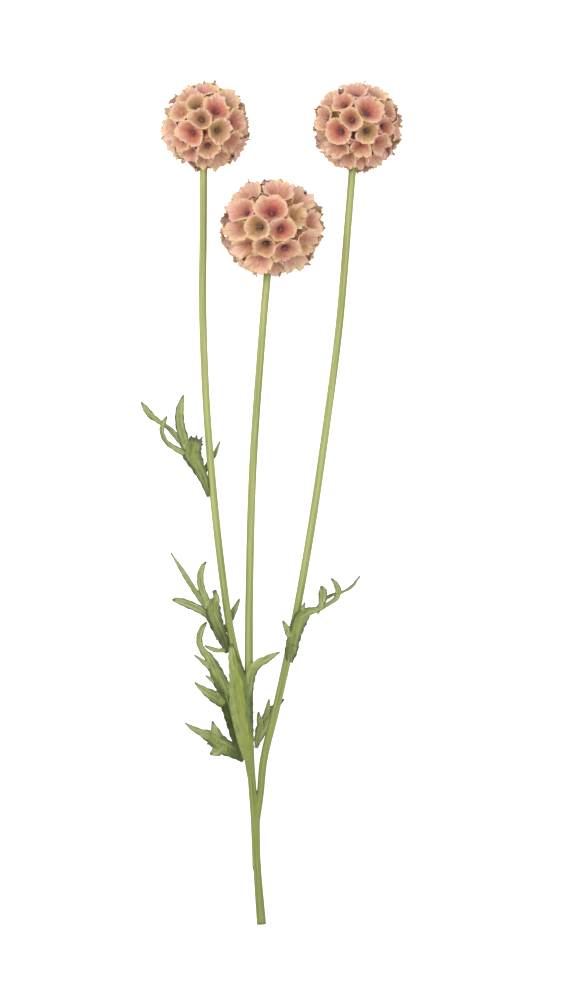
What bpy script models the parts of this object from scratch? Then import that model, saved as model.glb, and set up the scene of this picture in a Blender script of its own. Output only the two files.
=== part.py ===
"""A cut stem of starflower scabiosa with three round seed heads, as it lies on a table.

Metres, +Z up, +Y from the cut end towards the heads. The table top is the plane z = 0, and
the origin is the middle of the footprint on it. One branching stem carries three heads, each
a ball of funnel-shaped papery florets on a small core, and seven finger-cut leaves.
"""

import math
import random

import bmesh
import bpy
import numpy as np
from mathutils import Matrix, Vector

MM = 0.001

# Clearances and walls
GAP = 0.3 * MM
LEAF_THICKNESS = 0.8 * MM
FLORET_GAP = 0.15 * MM
TABLE_BITE = 0.6 * MM

# The stem in millimetres: plan route (x, y) and radius of each branch, from its foot to the head
# that it carries
CUT_END_Y = -250.0
SLOPE = 0.0459
SECTION_SPACING = 18 * MM
BRANCH_ROUTES = {
    "middle": [
        (-5.9, -250.0, 2.75), (-7.6, -229.0, 2.45), (-8.4, -218.2, 2.3), (-8.7, -216.0, 2.62),
        (-9.0, -210.1, 2.45), (-9.7, -185.8, 2.8), (-10.6, -168.0, 2.8), (-12.4, -143.0, 2.7),
        (-13.4, -110.4, 2.5), (-13.1, -51.0, 2.35), (-11.1, 20.2, 2.3), (-6.2, 91.4, 2.25),
        (-2.7, 132.9, 2.25),
    ],
    "left": [
        (-12.5, -162.6, 2.0), (-14.5, -146.0, 2.25), (-15.7, -128.2, 2.3), (-16.9, -110.4, 2.3),
        (-18.8, -98.5, 2.3), (-22.7, -83.7, 2.3), (-27.4, -55.8, 2.2), (-33.8, -1.2, 2.25),
        (-38.6, 58.8, 2.2), (-40.8, 115.1, 2.25), (-40.5, 156.7, 2.2), (-40.2, 197.0, 2.2),
    ],
    "right": [
        (-9.2, -189.9, 2.1), (-7.1, -172.7, 2.3), (-4.3, -150.2, 2.3), (3.0, -120.5, 2.3),
        (9.5, -91.4, 2.4), (16.0, -58.2, 2.3), (24.6, -8.3, 2.35), (32.9, 48.7, 2.25),
        (40.2, 105.6, 2.25), (45.6, 168.6, 2.2), (47.8, 195.9, 2.2),
    ],
}

# The heads: plan centre and outer radius in millimetres, and the florets on the side that faces
# up. Each is given by the share of the ball's radius at which its axis comes out, sideways and
# lengthways, and by how much wider it opens than its neighbours, in radians
FLORETS_PER_HEAD = 43
HEADS = {
    "left": {
        "centre": (-38.9, 223.7),
        "radius": 26.1,
        "seed": 11,
        "facing_up": [
            (-0.37, -0.13, 0.05), (0.0, 0.19, -0.03), (0.33, -0.1, 0.0), (0.25, 0.53, 0.02),
            (-0.19, 0.58, -0.03), (0.04, -0.55, -0.03), (0.62, -0.39, 0.01), (0.74, 0.1, 0.0),
            (-0.66, 0.36, 0.0), (-0.85, -0.05, 0.0), (-0.6, -0.42, 0.0), (-0.38, -0.72, 0.0),
            (-0.45, 0.74, 0.0), (0.0, 0.9, 0.0), (0.57, 0.62, 0.0), (0.32, -0.78, 0.0),
            (-0.04, -0.84, -0.02),
        ],
    },
    "middle": {
        "centre": (0.3, 163.5),
        "radius": 30.3,
        "seed": 5,
        "facing_up": [
            (0.0, 0.4, 0.06), (-0.27, 0.01, -0.02), (0.28, -0.05, 0.01), (-0.14, -0.36, -0.01),
            (0.2, -0.52, 0.04), (-0.63, 0.36, 0.01), (-0.51, 0.72, 0.0), (0.17, 0.77, 0.02),
            (0.5, 0.28, 0.0), (0.58, 0.62, 0.0), (-0.68, -0.05, 0.0), (-0.55, -0.43, 0.0),
            (-0.26, -0.77, 0.02), (0.46, -0.75, 0.0), (0.72, -0.3, 0.02), (0.83, 0.11, 0.0),
            (0.11, -0.86, -0.01),
        ],
    },
    "right": {
        "centre": (51.0, 223.5),
        "radius": 26.7,
        "seed": 23,
        "facing_up": [
            (-0.12, 0.14, -0.02), (0.2, 0.46, 0.06), (0.25, -0.09, 0.0), (-0.46, -0.13, 0.04),
            (0.09, -0.55, -0.04), (0.55, -0.45, 0.0), (-0.36, 0.57, -0.01), (-0.03, 0.84, 0.0),
            (0.42, 0.8, 0.0), (0.72, 0.38, 0.0), (0.7, -0.02, -0.02), (0.42, -0.8, 0.0),
            (-0.5, -0.56, 0.0), (-0.83, 0.2, 0.0), (-0.68, 0.58, -0.02), (-0.26, -0.8, 0.0),
            (0.1, -0.86, -0.02),
        ],
    },
}
LOWEST_SHARE = 0.964
STEM_CLEARING = 0.12
STEM_ROOM = 0.6
SOCKET_DEPTH_SHARE = 0.45

# A floret's shape: widths as shares of the angle from its axis to its rim, and distances from
# the head's centre as shares of its radius
CORE_SHARE = 0.62
ROOT_SHARE = 0.45
NECK = (0.42, 0.7)
RIM_OUTSIDE = (1.0, 0.972)
RIM_INSIDE = (0.93, 1.0)
THROAT = (0.36, 0.8)
BOSS_SHARE = 0.84
FLORET_LOBES = 5
NOTCH = (0.93, 0.972)
WIDEST_RIM = 0.33
PROUD = 0.04
LEAN = 0.03
REST_TILT = 0.75

# The leaves in millimetres: each is a list of fingers that grow together, the blade first. A
# finger is a route of (x, y, z, half its width, roll in degrees about its own length)
STATION_SPACING = 5 * MM
POINT_WIDTH = 0.3 * MM
ROOT_LENGTH = 2.5 * MM
LEAVES = {
    "leaf_upper": [
        [(-37.1, 4.2, 14.6, 1.2, 0), (-40.1, 14.2, 15.8, 2.7, 0), (-43.9, 22.6, 17.0, 4.2, 0),
         (-47.5, 30.3, 18.2, 5.6, 0), (-46.0, 35.6, 19.4, 4.7, 0), (-43.6, 40.1, 20.6, 2.7, 0)],
        [(-50.2, 33.2, 18.8, 2.4, 0), (-52.2, 39.2, 20.2, 3.0, 0), (-54.0, 45.7, 21.6, 2.8, 0),
         (-54.6, 53.4, 22.3, 2.6, 0), (-53.7, 59.4, 21.6, 1.8, 0), (-52.2, 65.0, 20.3, 0.3, 0)],
        [(-50.2, 32.0, 18.0, 1.5, 0), (-56.7, 40.4, 16.4, 1.7, 0), (-62.3, 46.0, 15.0, 1.4, 35),
         (-67.4, 49.3, 14.2, 1.4, 0), (-72.1, 53.1, 13.2, 2.0, 0), (-75.4, 57.6, 11.8, 1.5, 0),
         (-77.5, 60.8, 10.5, 0.3, 0)],
        [(-50.7, 29.7, 17.6, 1.8, 0), (-58.5, 33.8, 17.4, 1.5, 0), (-62.6, 37.1, 18.0, 1.5, 25),
         (-64.8, 41.5, 19.0, 1.4, 25), (-64.8, 45.7, 20.2, 1.4, 0), (-63.5, 49.3, 20.6, 1.2, 0),
         (-62.0, 52.2, 19.4, 0.3, 0)],
        [(-40.7, 17.8, 15.6, 1.4, 0), (-37.7, 23.7, 12.4, 1.4, 0), (-33.8, 29.7, 12.2, 1.3, 0),
         (-30.6, 37.4, 13.5, 0.3, 0)],
    ],
    "leaf_second": [
        [(-27.0, -88.4, 10.6, 1.2, 0), (-29.4, -81.3, 11.6, 2.5, 0), (-32.2, -73.6, 13.0, 3.7, 0),
         (-34.4, -65.9, 14.4, 4.6, 0), (-34.5, -59.9, 15.4, 4.2, 0), (-32.9, -55.8, 16.0, 2.0, 0),
         (-34.1, -51.0, 16.0, 1.1, 0)],
        [(-36.5, -61.1, 15.8, 2.0, 0), (-40.1, -54.0, 17.2, 2.1, 0), (-42.1, -46.9, 18.6, 2.0, 0),
         (-42.0, -41.0, 19.0, 1.8, 0), (-40.7, -36.8, 18.4, 1.3, 0), (-38.6, -34.1, 17.4, 0.4, 0)],
        [(-37.1, -62.9, 15.4, 1.8, 0), (-41.8, -56.7, 15.0, 1.7, 0), (-46.6, -49.9, 14.7, 1.5, 0),
         (-51.3, -42.4, 14.3, 1.5, 0), (-54.6, -37.1, 13.4, 1.1, 0), (-59.9, -28.8, 11.0, 0.3, 0)],
        [(-34.7, -68.3, 14.0, 2.1, 0), (-40.7, -63.8, 13.4, 2.2, 0), (-46.3, -60.8, 13.3, 2.4, 0),
         (-51.9, -58.5, 12.4, 2.3, 0), (-56.1, -57.2, 11.0, 1.7, 0), (-59.1, -56.9, 9.8, 0.4, 0)],
        [(-31.2, -78.9, 11.6, 1.4, 0), (-26.7, -73.0, 7.2, 1.7, 0), (-23.1, -65.0, 7.4, 1.8, 0),
         (-20.8, -60.2, 8.2, 1.3, 0), (-19.0, -56.1, 9.0, 0.3, 0)],
        [(-27.6, -86.7, 10.8, 1.1, 0), (-32.3, -86.9, 13.2, 1.2, 0), (-35.9, -85.8, 14.0, 1.2, 0),
         (-39.8, -84.0, 14.2, 0.3, 0)],
    ],
    "leaf_long": [
        [(-16.6, -151.9, 8.6, 1.2, 0), (-20.8, -140.1, 8.9, 2.8, 0), (-23.4, -128.8, 9.4, 3.9, 0),
         (-25.5, -119.9, 9.9, 4.5, 0), (-27.9, -111.0, 10.3, 4.5, 0), (-30.6, -105.0, 10.9, 4.3, 0),
         (-33.8, -97.9, 11.2, 3.8, 0), (-37.1, -91.4, 11.0, 2.7, 0), (-41.0, -86.9, 10.4, 1.9, 0),
         (-42.9, -81.9, 9.8, 1.8, 0), (-42.3, -76.6, 9.0, 1.8, 0), (-40.7, -73.0, 8.4, 1.4, 0),
         (-38.6, -70.0, 8.0, 0.4, 0)],
        [(-34.1, -99.7, 11.4, 1.4, 0), (-38.6, -95.3, 12.2, 1.5, 0), (-42.1, -92.5, 13.2, 1.0, 0),
         (-46.0, -89.5, 14.0, 0.3, 0)],
        [(-34.1, -105.6, 10.9, 1.3, 0), (-39.3, -101.7, 11.6, 0.3, 0)],
        [(-28.2, -117.5, 10.2, 3.6, 0), (-33.8, -114.5, 10.3, 3.6, 0), (-38.9, -111.3, 9.8, 2.4, 0),
         (-42.7, -108.6, 9.0, 1.4, 0), (-45.8, -105.8, 8.2, 0.3, 0)],
    ],
    "leaf_low": [
        [(-16.6, -152.5, 5.8, 1.3, 0), (-22.8, -146.9, 5.6, 4.0, 0), (-29.4, -142.4, 5.6, 5.7, 0),
         (-35.3, -138.9, 5.4, 4.2, 0), (-41.8, -135.9, 4.8, 2.2, 0), (-46.6, -133.5, 4.0, 1.5, 0),
         (-51.6, -130.2, 3.2, 0.3, 0)],
        [(-32.3, -138.9, 5.8, 2.1, 0), (-34.2, -134.1, 6.2, 2.0, 0), (-35.3, -128.7, 6.8, 0.3, 0)],
        [(-34.1, -141.3, 5.4, 1.5, 0), (-38.7, -142.8, 4.5, 0.3, 0)],
        [(-28.2, -144.8, 5.6, 2.4, 0), (-32.3, -147.5, 4.6, 2.3, 0), (-36.5, -149.2, 3.8, 0.5, 0)],
    ],
    "leaf_fork": [
        [(-13.4, -153.1, 10.6, 1.9, 0), (-14.7, -143.0, 11.5, 4.3, 0), (-16.6, -131.2, 12.3, 5.7, 0),
         (-17.8, -119.3, 13.1, 6.6, 0), (-18.8, -109.2, 13.5, 6.6, 0), (-20.8, -99.1, 13.6, 4.6, 0),
         (-22.8, -91.4, 13.4, 3.0, 0), (-24.3, -83.1, 13.2, 0.9, 0)],
        [(-14.5, -117.5, 13.1, 2.7, 0), (-13.4, -108.0, 14.0, 2.9, 0), (-12.0, -100.3, 14.5, 3.1, 0),
         (-8.6, -95.3, 14.8, 2.7, 0), (-3.3, -92.2, 14.9, 2.3, 0), (0.9, -89.9, 14.8, 1.5, 0),
         (5.0, -87.8, 14.5, 0.3, 0)],
    ],
    "leaf_toothed": [
        [(-9.2, -145.1, 6.6, 0.9, 0), (-7.7, -138.9, 5.2, 2.5, 0), (-5.3, -132.9, 4.4, 3.9, 0),
         (-2.7, -127.6, 4.0, 3.3, 0), (0.0, -122.9, 4.0, 2.3, 0), (3.9, -119.3, 4.4, 1.5, 0),
         (7.4, -115.9, 5.4, 0.4, 0)],
        [(-6.2, -132.4, 4.4, 1.7, 0), (-7.4, -127.9, 4.8, 1.5, 0), (-7.8, -123.4, 5.4, 0.3, 0)],
        [(-3.0, -127.0, 4.0, 1.8, 0), (-2.3, -122.0, 4.4, 1.6, 0), (-1.5, -115.9, 5.2, 0.3, 0)],
    ],
    "leaf_right": [
        [(10.7, -94.4, 12.9, 1.3, 0), (12.3, -87.8, 13.7, 3.0, 0), (13.7, -80.7, 14.4, 3.4, 0),
         (15.7, -73.6, 15.0, 3.7, 0), (18.7, -67.4, 15.8, 3.4, 0), (22.3, -63.8, 16.6, 2.4, 0),
         (27.6, -62.3, 17.4, 1.6, 15), (32.9, -59.6, 18.0, 1.4, 30), (37.4, -56.7, 18.6, 1.5, 25),
         (39.6, -52.2, 19.4, 1.8, 0), (38.3, -47.8, 19.8, 1.5, 0), (35.3, -43.9, 19.4, 0.4, 0)],
        [(28.2, -62.9, 17.4, 1.2, 0), (29.6, -59.1, 18.8, 1.8, 0), (30.4, -55.2, 20.0, 2.6, 0),
         (30.3, -51.3, 20.4, 2.3, 0), (29.4, -48.5, 20.0, 0.6, 0)],
        [(27.0, -62.6, 17.2, 1.2, 0), (31.2, -57.0, 15.8, 1.5, 55), (35.3, -54.0, 15.2, 1.5, 60),
         (40.1, -52.8, 15.0, 1.4, 60), (44.5, -51.0, 14.6, 1.4, 60), (48.7, -47.7, 14.0, 1.2, 50),
         (52.5, -42.7, 13.0, 0.4, 30)],
        [(13.4, -81.9, 14.4, 2.1, 0), (10.6, -77.2, 15.0, 2.1, 0), (8.6, -73.0, 14.9, 1.7, 0),
         (6.5, -69.1, 14.2, 0.4, 0)],
        [(18.4, -65.3, 16.0, 1.4, 0), (18.5, -62.0, 16.6, 1.2, 0), (19.8, -58.3, 17.2, 0.3, 0)],
    ],
}

# How far a blade's edges stand above its midrib, as a share of half its width: below it where
# the leaf's foot wraps the fork
FOLD = 0.25
FORK_FOLD = -0.12

COLOURS = {
    "stem": (0.36, 0.40, 0.15, 1.0),
    "leaf": (0.19, 0.24, 0.08, 1.0),
    "floret": (0.62, 0.32, 0.22, 1.0),
}
ROUGHNESS = {"stem": 0.55, "leaf": 0.6, "floret": 0.75}


def clear_scene():
    for obj in list(bpy.data.objects):
        bpy.data.objects.remove(obj)


def new_collection(name):
    collection = bpy.data.collections.new(name)
    bpy.context.scene.collection.children.link(collection)
    return collection


def finish_material(name):
    material = bpy.data.materials.new(name)
    material.use_nodes = True
    shader = material.node_tree.nodes["Principled BSDF"]
    shader.inputs["Base Color"].default_value = COLOURS[name]
    shader.inputs["Roughness"].default_value = ROUGHNESS[name]
    shader.inputs["Metallic"].default_value = 0.0
    return material


def add_object(name, mesh, collection):
    obj = bpy.data.objects.new(name, mesh)
    collection.objects.link(obj)
    return obj


def as_cutter(obj):
    obj.hide_render = True
    obj.display_type = "WIRE"


def smooth_route(points, spacing):
    """Samples of the Catmull-Rom curve through points, whose first three values are a place."""
    p = np.array(points, float)
    p = np.vstack([2 * p[0] - p[1], p, 2 * p[-1] - p[-2]])
    samples = []
    for a, b, c, d in zip(p, p[1:], p[2:], p[3:]):
        steps = max(1, round(np.linalg.norm((c - b)[:3]) / spacing))
        for t in np.arange(steps) / steps:
            bent = 2 * a - 5 * b + 4 * c - d
            pulled = -a + 3 * b - 3 * c + d
            samples.append(0.5 * (2 * b + (c - a) * t + bent * t**2 + pulled * t**3))
    samples.append(p[-2])
    return samples


# The stem


def head_centre(name):
    x, y = HEADS[name]["centre"]
    return Vector((x * MM, y * MM, LOWEST_SHARE * head_radius(name) - TABLE_BITE))


def head_radius(name):
    return HEADS[name]["radius"] * MM


def branch_route(name):
    """(x, y, z, radius) along a branch: it rises evenly, and then bends to its own head's height."""
    plan = BRANCH_ROUTES[name]
    foot_y, top_y = plan[0][1], plan[-1][1]
    foot_height = 0.9 * BRANCH_ROUTES["middle"][0][2]
    top_rise = head_centre(name).z / MM - foot_height - SLOPE * (top_y - CUT_END_Y)
    route = []
    for x, y, radius in plan:
        along = (y - foot_y) / (top_y - foot_y)
        height = foot_height + SLOPE * (y - CUT_END_Y) + top_rise * along**2
        route.append((x * MM, y * MM, height * MM, radius * MM))
    return route


def stem_direction(name):
    """From the head's centre towards the stem that carries it."""
    return (Vector(branch_route(name)[-1][:3]) - head_centre(name)).normalized()


def full_route(name):
    """A branch's route on into the socket in its head."""
    route = branch_route(name)
    depth = SOCKET_DEPTH_SHARE * head_radius(name)
    end = head_centre(name) + stem_direction(name) * depth
    return [*route, (*end, route[-1][3])]


def tube(name, route, grow, collection):
    """A round stem along a route, grown all round by grow, as a closed mesh."""
    curve = bpy.data.curves.new(name, "CURVE")
    curve.dimensions = "3D"
    curve.bevel_depth = 1.0
    curve.bevel_resolution = 2
    curve.use_fill_caps = True
    samples = smooth_route(route, SECTION_SPACING)
    spline = curve.splines.new("POLY")
    spline.points.add(len(samples) - 1)
    for point, (x, y, z, radius) in zip(spline.points, samples):
        point.co = (x, y, z, 1.0)
        point.radius = radius + grow
    drawn = add_object(name + "_curve", curve, collection)
    bpy.context.view_layer.update()
    graph = bpy.context.evaluated_depsgraph_get()
    mesh = bpy.data.meshes.new_from_object(drawn.evaluated_get(graph))
    solid = add_object(name, mesh, collection)
    solid.matrix_world = drawn.matrix_world
    bpy.data.objects.remove(drawn)
    weld(mesh)
    return solid


def weld(mesh):
    shape = bmesh.new()
    shape.from_mesh(mesh)
    bmesh.ops.remove_doubles(shape, verts=shape.verts, dist=0.00001)
    bmesh.ops.recalc_face_normals(shape, faces=shape.faces)
    shape.to_mesh(mesh)
    shape.free()


def combine(obj, operation, others, solver="EXACT"):
    """Applies one Boolean of obj with every object of a collection."""
    step = obj.modifiers.new(operation, "BOOLEAN")
    step.operation = operation
    step.operand_type = "COLLECTION"
    step.collection = others
    step.solver = solver
    bpy.context.view_layer.update()
    graph = bpy.context.evaluated_depsgraph_get()
    mesh = bpy.data.meshes.new_from_object(obj.evaluated_get(graph))
    obj.modifiers.clear()
    obj.data = mesh


def empty_collection(collection):
    for obj in list(collection.objects):
        bpy.data.objects.remove(obj)
    bpy.data.collections.remove(collection)


def make_stem(part, table):
    branches = new_collection("stem_branches")
    trunk = tube("stem", full_route("middle"), 0.0, part)
    for name in ("left", "right"):
        tube("branch_" + name, full_route(name), 0.0, branches)
    combine(trunk, "UNION", branches)
    empty_collection(branches)
    combine(trunk, "DIFFERENCE", table)
    return trunk


# The heads


def even_directions(pinned, count, rounds=160):
    """Unit vectors spread over a sphere. The pinned ones stay put, and the first of them, the
    stem's, takes less room; the free ones start on a spiral over the side that faces down.
    """
    free = count - len(pinned)
    turn = math.pi * (3 - math.sqrt(5))
    spiral = []
    for i in range(free):
        height = 0.1 - 1.05 * (i + 0.5) / free
        wide = math.sqrt(1 - height * height)
        spiral.append((wide * math.cos(i * turn), wide * math.sin(i * turn), height))
    placed = np.array([*map(tuple, pinned), *spiral])
    room = np.ones(count)
    room[0] = STEM_ROOM
    for i in range(rounds):
        apart = placed[:, None] - placed[None]
        distance = np.linalg.norm(apart, axis=2) + np.eye(count)
        push = (apart * room[:, None] / distance[..., None] ** 4).sum(axis=1)
        push[: len(pinned)] = 0
        placed = placed + 0.006 * (1 - i / rounds) * push
        placed /= np.linalg.norm(placed, axis=1)[:, None]
    return [Vector(p) for p in placed]


def floret_places(name):
    """Each floret's direction and how much wider than usual it opens. The first entry is where
    the stem comes in, and no floret grows there; the second is the one that the head rests on.
    """
    up = [(x, y, math.sqrt(1 - x * x - y * y)) for x, y, _ in HEADS[name]["facing_up"]]
    pinned = [stem_direction(name), Vector((0, 0, -1)), *map(Vector, up)]
    directions = even_directions(pinned, FLORETS_PER_HEAD + 1)
    wider = [0.0, 0.0, *(w for _, _, w in HEADS[name]["facing_up"])]
    wider += [0.0] * (len(directions) - len(wider))
    return directions, wider


def side_axes(axis):
    first = axis.orthogonal().normalized()
    return first, axis.cross(first)


def rim_angle(places, index, bearing):
    """How far a floret opens towards a bearing before it meets the one that grows beside it."""
    directions, wider = places
    axis = directions[index]
    first, second = side_axes(axis)
    reach = WIDEST_RIM + wider[index]
    for other, direction in enumerate(directions):
        if other == index:
            continue
        apart = axis.angle(direction)
        towards = math.atan2(direction.dot(second), direction.dot(first))
        lined_up = math.cos(bearing - towards)
        border = (apart + wider[index] - wider[other]) / 2
        if other == 0:
            border = apart - STEM_CLEARING
        if lined_up < 0.1 or border > 1:
            continue
        reach = min(reach, math.atan(math.tan(border) / lined_up))
    return reach


def ring(shape, centre, radius, axis, bearings, angles, shares):
    """Vertices round a floret's axis, each at its own angle from it and distance from the centre."""
    first, second = side_axes(axis)
    found = []
    for bearing, angle, share in zip(bearings, angles, shares):
        sideways = first * math.cos(bearing) + second * math.sin(bearing)
        direction = axis * math.cos(angle) + sideways * math.sin(angle)
        found.append(shape.verts.new(centre + direction * radius * share))
    return found


def band(shape, low, high, outward):
    """Triangles between two rings, split alike whichever side they face."""
    for k in range(len(low)):
        a, b = low[k - 1], low[k]
        c, d = high[k - 1], high[k]
        for corners in ((a, b, d), (a, d, c)):
            shape.faces.new(corners if outward else corners[::-1])


def flare(shape, low, high, outward):
    """Triangles between a ring and one with twice as many vertices, of which every second lines up."""
    for k in range(len(low)):
        a, b = low[k - 1], low[k]
        first, between, last = high[2 * k - 2], high[2 * k - 1], high[2 * k]
        for corners in ((a, between, first), (a, b, between), (b, last, between)):
            shape.faces.new(corners if outward else corners[::-1])


def fan(shape, middle, around, outward):
    """Triangles from one vertex to a ring."""
    for k in range(len(around)):
        corners = (middle, around[k], around[k - 1])
        shape.faces.new(corners if outward else corners[::-1])


def make_floret(name, index, places, draw, collection):
    """A lobed papery funnel on a root, with a boss in its throat: rings lofted along its axis."""
    centre, radius = head_centre(name), head_radius(name)
    axis = places[0][index]
    turned = draw.uniform(0, math.tau)
    proud = 1 + draw.uniform(-PROUD, PROUD)
    lean, lean_bearing = draw.uniform(0, LEAN), draw.uniform(0, math.tau)
    if axis.z < -REST_TILT:
        proud, lean = 1.0, 0.0
    bearings, rims, shares = [], [], []
    for k in range(2 * FLORET_LOBES):
        bearing = turned + math.pi * k / FLORET_LOBES
        narrow, low = NOTCH if k % 2 else (1.0, 1.0)
        widest = rim_angle(places, index, bearing) - FLORET_GAP / radius
        bearings.append(bearing)
        rims.append(widest * narrow)
        shares.append(low * (proud + lean * math.cos(bearing - lean_bearing)))

    shape = bmesh.new()

    def level(width_share, distance_share, distances, step):
        angles = [width_share * rim for rim in rims[::step]]
        distances = [distance_share * share for share in distances[::step]]
        return ring(shape, centre, radius, axis, bearings[::step], angles, distances)

    root = shape.verts.new(centre + axis * radius * ROOT_SHARE)
    boss = shape.verts.new(centre + axis * radius * BOSS_SHARE * proud)
    neck = level(*NECK, [1.0] * len(rims), 2)
    rim_outside = level(*RIM_OUTSIDE, shares, 1)
    rim_inside = level(*RIM_INSIDE, shares, 1)
    throat = level(*THROAT, [proud] * len(rims), 2)
    fan(shape, root, neck, True)
    flare(shape, neck, rim_outside, True)
    band(shape, rim_outside, rim_inside, True)
    flare(shape, throat, rim_inside, False)
    fan(shape, boss, throat, False)
    mesh = bpy.data.meshes.new(f"floret_{name}_{index}")
    shape.to_mesh(mesh)
    shape.free()
    add_object(mesh.name, mesh, collection)


def make_head(name, part, table):
    radius = head_radius(name)
    draw = random.Random(HEADS[name]["seed"])
    florets = new_collection("florets_" + name)
    places = floret_places(name)
    for index in range(1, FLORETS_PER_HEAD + 1):
        make_floret(name, index, places, draw, florets)
    shape = bmesh.new()
    at_centre = Matrix.Translation(head_centre(name))
    bmesh.ops.create_icosphere(shape, subdivisions=2, radius=CORE_SHARE * radius, matrix=at_centre)
    mesh = bpy.data.meshes.new("head_" + name)
    shape.to_mesh(mesh)
    shape.free()
    head = add_object("head_" + name, mesh, part)
    combine(head, "UNION", florets)
    empty_collection(florets)
    sockets = new_collection("socket_" + name)
    route = full_route(name)
    foot = Vector(route[-2][:3]) + stem_direction(name) * radius
    stop = Vector(route[-1][:3]) - stem_direction(name) * GAP
    tube("socket", [(*foot, route[-1][3]), (*stop, route[-1][3])], GAP, sockets)
    combine(head, "DIFFERENCE", sockets)
    empty_collection(sockets)
    combine(head, "DIFFERENCE", table)
    return head


# The leaves


def in_metres(route):
    return [(x * MM, y * MM, z * MM, half * MM, roll) for x, y, z, half, roll in route]


def make_finger(name, route, fold, collection):
    """One tapering finger of a leaf: a sheet folded a little along its midrib, then thickened."""
    samples = smooth_route(route, STATION_SPACING)
    places = [Vector(s[:3]) for s in samples]
    shape = bmesh.new()
    rows = []
    for i, (place, sample) in enumerate(zip(places, samples)):
        ahead = (places[min(i + 1, len(places) - 1)] - places[max(i - 1, 0)]).normalized()
        across = ahead.cross(Vector((0, 0, 1))).normalized()
        across.rotate(Matrix.Rotation(math.radians(sample[4]), 3, ahead))
        half = max(sample[3], POINT_WIDTH)
        raised = across.cross(ahead) * half * fold
        row = (place - across * half + raised, place - raised, place + across * half + raised)
        rows.append([shape.verts.new(corner) for corner in row])
    for near, far in zip(rows, rows[1:]):
        for k in range(2):
            shape.faces.new((near[k], near[k + 1], far[k + 1]))
            shape.faces.new((near[k], far[k + 1], far[k]))
    mesh = bpy.data.meshes.new(name)
    shape.to_mesh(mesh)
    shape.free()
    finger = add_object(name, mesh, collection)
    wall = finger.modifiers.new("thickness", "SOLIDIFY")
    wall.thickness = LEAF_THICKNESS
    wall.offset = 0.0
    return finger


def rooted(route, blade, fold):
    """The route led back to a point inside the blade, and laid in the blade's sheet up to its edge."""
    (x0, y0, *_), (x1, y1, *_) = route[:2]
    back = ROOT_LENGTH / math.dist((x0, y0), (x1, y1))
    root = (x0 + (x0 - x1) * back, y0 + (y0 - y1) * back, route[0][2], POINT_WIDTH, 0)
    blade = smooth_route(blade, MM)
    laid = []
    for x, y, z, half, roll in (root, *route):
        nearest = min(blade, key=lambda s: math.dist(s[:2], (x, y)))
        share = math.dist(nearest[:2], (x, y)) / nearest[3]
        if share < 1:
            z = nearest[2] + fold * nearest[3] * (2 * share - 1)
        laid.append((x, y, z, half, roll))
    return laid


def make_leaf(name, part, stem_room):
    fold = FORK_FOLD if name == "leaf_fork" else FOLD
    fingers = new_collection(name + "_fingers")
    blade, *others = map(in_metres, LEAVES[name])
    leaf = make_finger(name, blade, fold, part)
    for i, route in enumerate(others):
        make_finger(f"{name}_finger_{i}", rooted(route, blade, fold), fold, fingers)
    combine(leaf, "UNION", fingers)
    empty_collection(fingers)
    combine(leaf, "DIFFERENCE", stem_room)
    return leaf


def finish(obj, material, sharp_degrees=180.0):
    obj.data.materials.clear()
    obj.data.materials.append(material)
    obj.data.shade_smooth()
    obj.data.set_sharp_from_angle(angle=math.radians(sharp_degrees))


def main():
    clear_scene()
    part = new_collection("scabiosa")
    table = new_collection("table_cutter")
    shape = bmesh.new()
    bmesh.ops.create_cube(shape, size=1.0, matrix=Matrix.Translation((0, 0, -0.5)))
    mesh = bpy.data.meshes.new("table_top")
    shape.to_mesh(mesh)
    shape.free()
    as_cutter(add_object("table_top", mesh, table))
    stem_room = new_collection("stem_room_cutter")
    for name in BRANCH_ROUTES:
        as_cutter(tube("room_" + name, full_route(name), GAP, stem_room))

    materials = {name: finish_material(name) for name in COLOURS}
    finish(make_stem(part, table), materials["stem"], 60.0)
    for name in HEADS:
        finish(make_head(name, part, table), materials["floret"], 40.0)
    for name in LEAVES:
        finish(make_leaf(name, part, stem_room), materials["leaf"], 50.0)


main()
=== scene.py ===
# %% [markdown]
# # A cut stem of starflower scabiosa
# The flower lies on a table: one green stem that forks into three, seven leaves cut into fingers,
# and three round heads, each packed with papery cups. Its plain solids come ready made, at their
# real size. This lesson replaces each of them with a finer piece of the same form, gives every
# piece its finish, and lights it for a picture from straight above.

# %% The frame and its box
import math
import random

import bmesh
import bpy
import numpy as np
from mathutils import Matrix, Vector, noise


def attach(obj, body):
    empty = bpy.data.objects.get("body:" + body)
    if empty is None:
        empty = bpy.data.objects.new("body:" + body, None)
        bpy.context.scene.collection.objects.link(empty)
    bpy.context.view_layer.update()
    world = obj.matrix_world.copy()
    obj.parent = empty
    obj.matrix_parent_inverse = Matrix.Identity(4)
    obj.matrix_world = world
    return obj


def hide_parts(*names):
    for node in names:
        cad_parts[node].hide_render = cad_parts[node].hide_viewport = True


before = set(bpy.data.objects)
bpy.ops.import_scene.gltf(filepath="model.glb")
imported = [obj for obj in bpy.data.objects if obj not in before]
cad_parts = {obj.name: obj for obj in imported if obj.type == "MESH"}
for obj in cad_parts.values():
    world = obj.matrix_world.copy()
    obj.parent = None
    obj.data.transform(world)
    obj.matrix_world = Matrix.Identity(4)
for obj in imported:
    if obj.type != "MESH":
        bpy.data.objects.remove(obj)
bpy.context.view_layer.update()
MM = 0.001
print("solids:", sorted(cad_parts))

# %% [markdown]
# ## The camera
# The picture is taken from far off with a long lens, so that nothing looks larger for being a
# little nearer. A lens is easiest to set from what it must take in: the picture's height, measured
# at the level of the stems, over the distance to them.

# %% Camera
CAMERA_HEIGHT = 6.0
STEM_LEVEL = 15 * MM
PICTURE_HEIGHT = 595.9 * MM
PICTURE_CENTRE = (5.6 * MM, 1.2 * MM)


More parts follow.
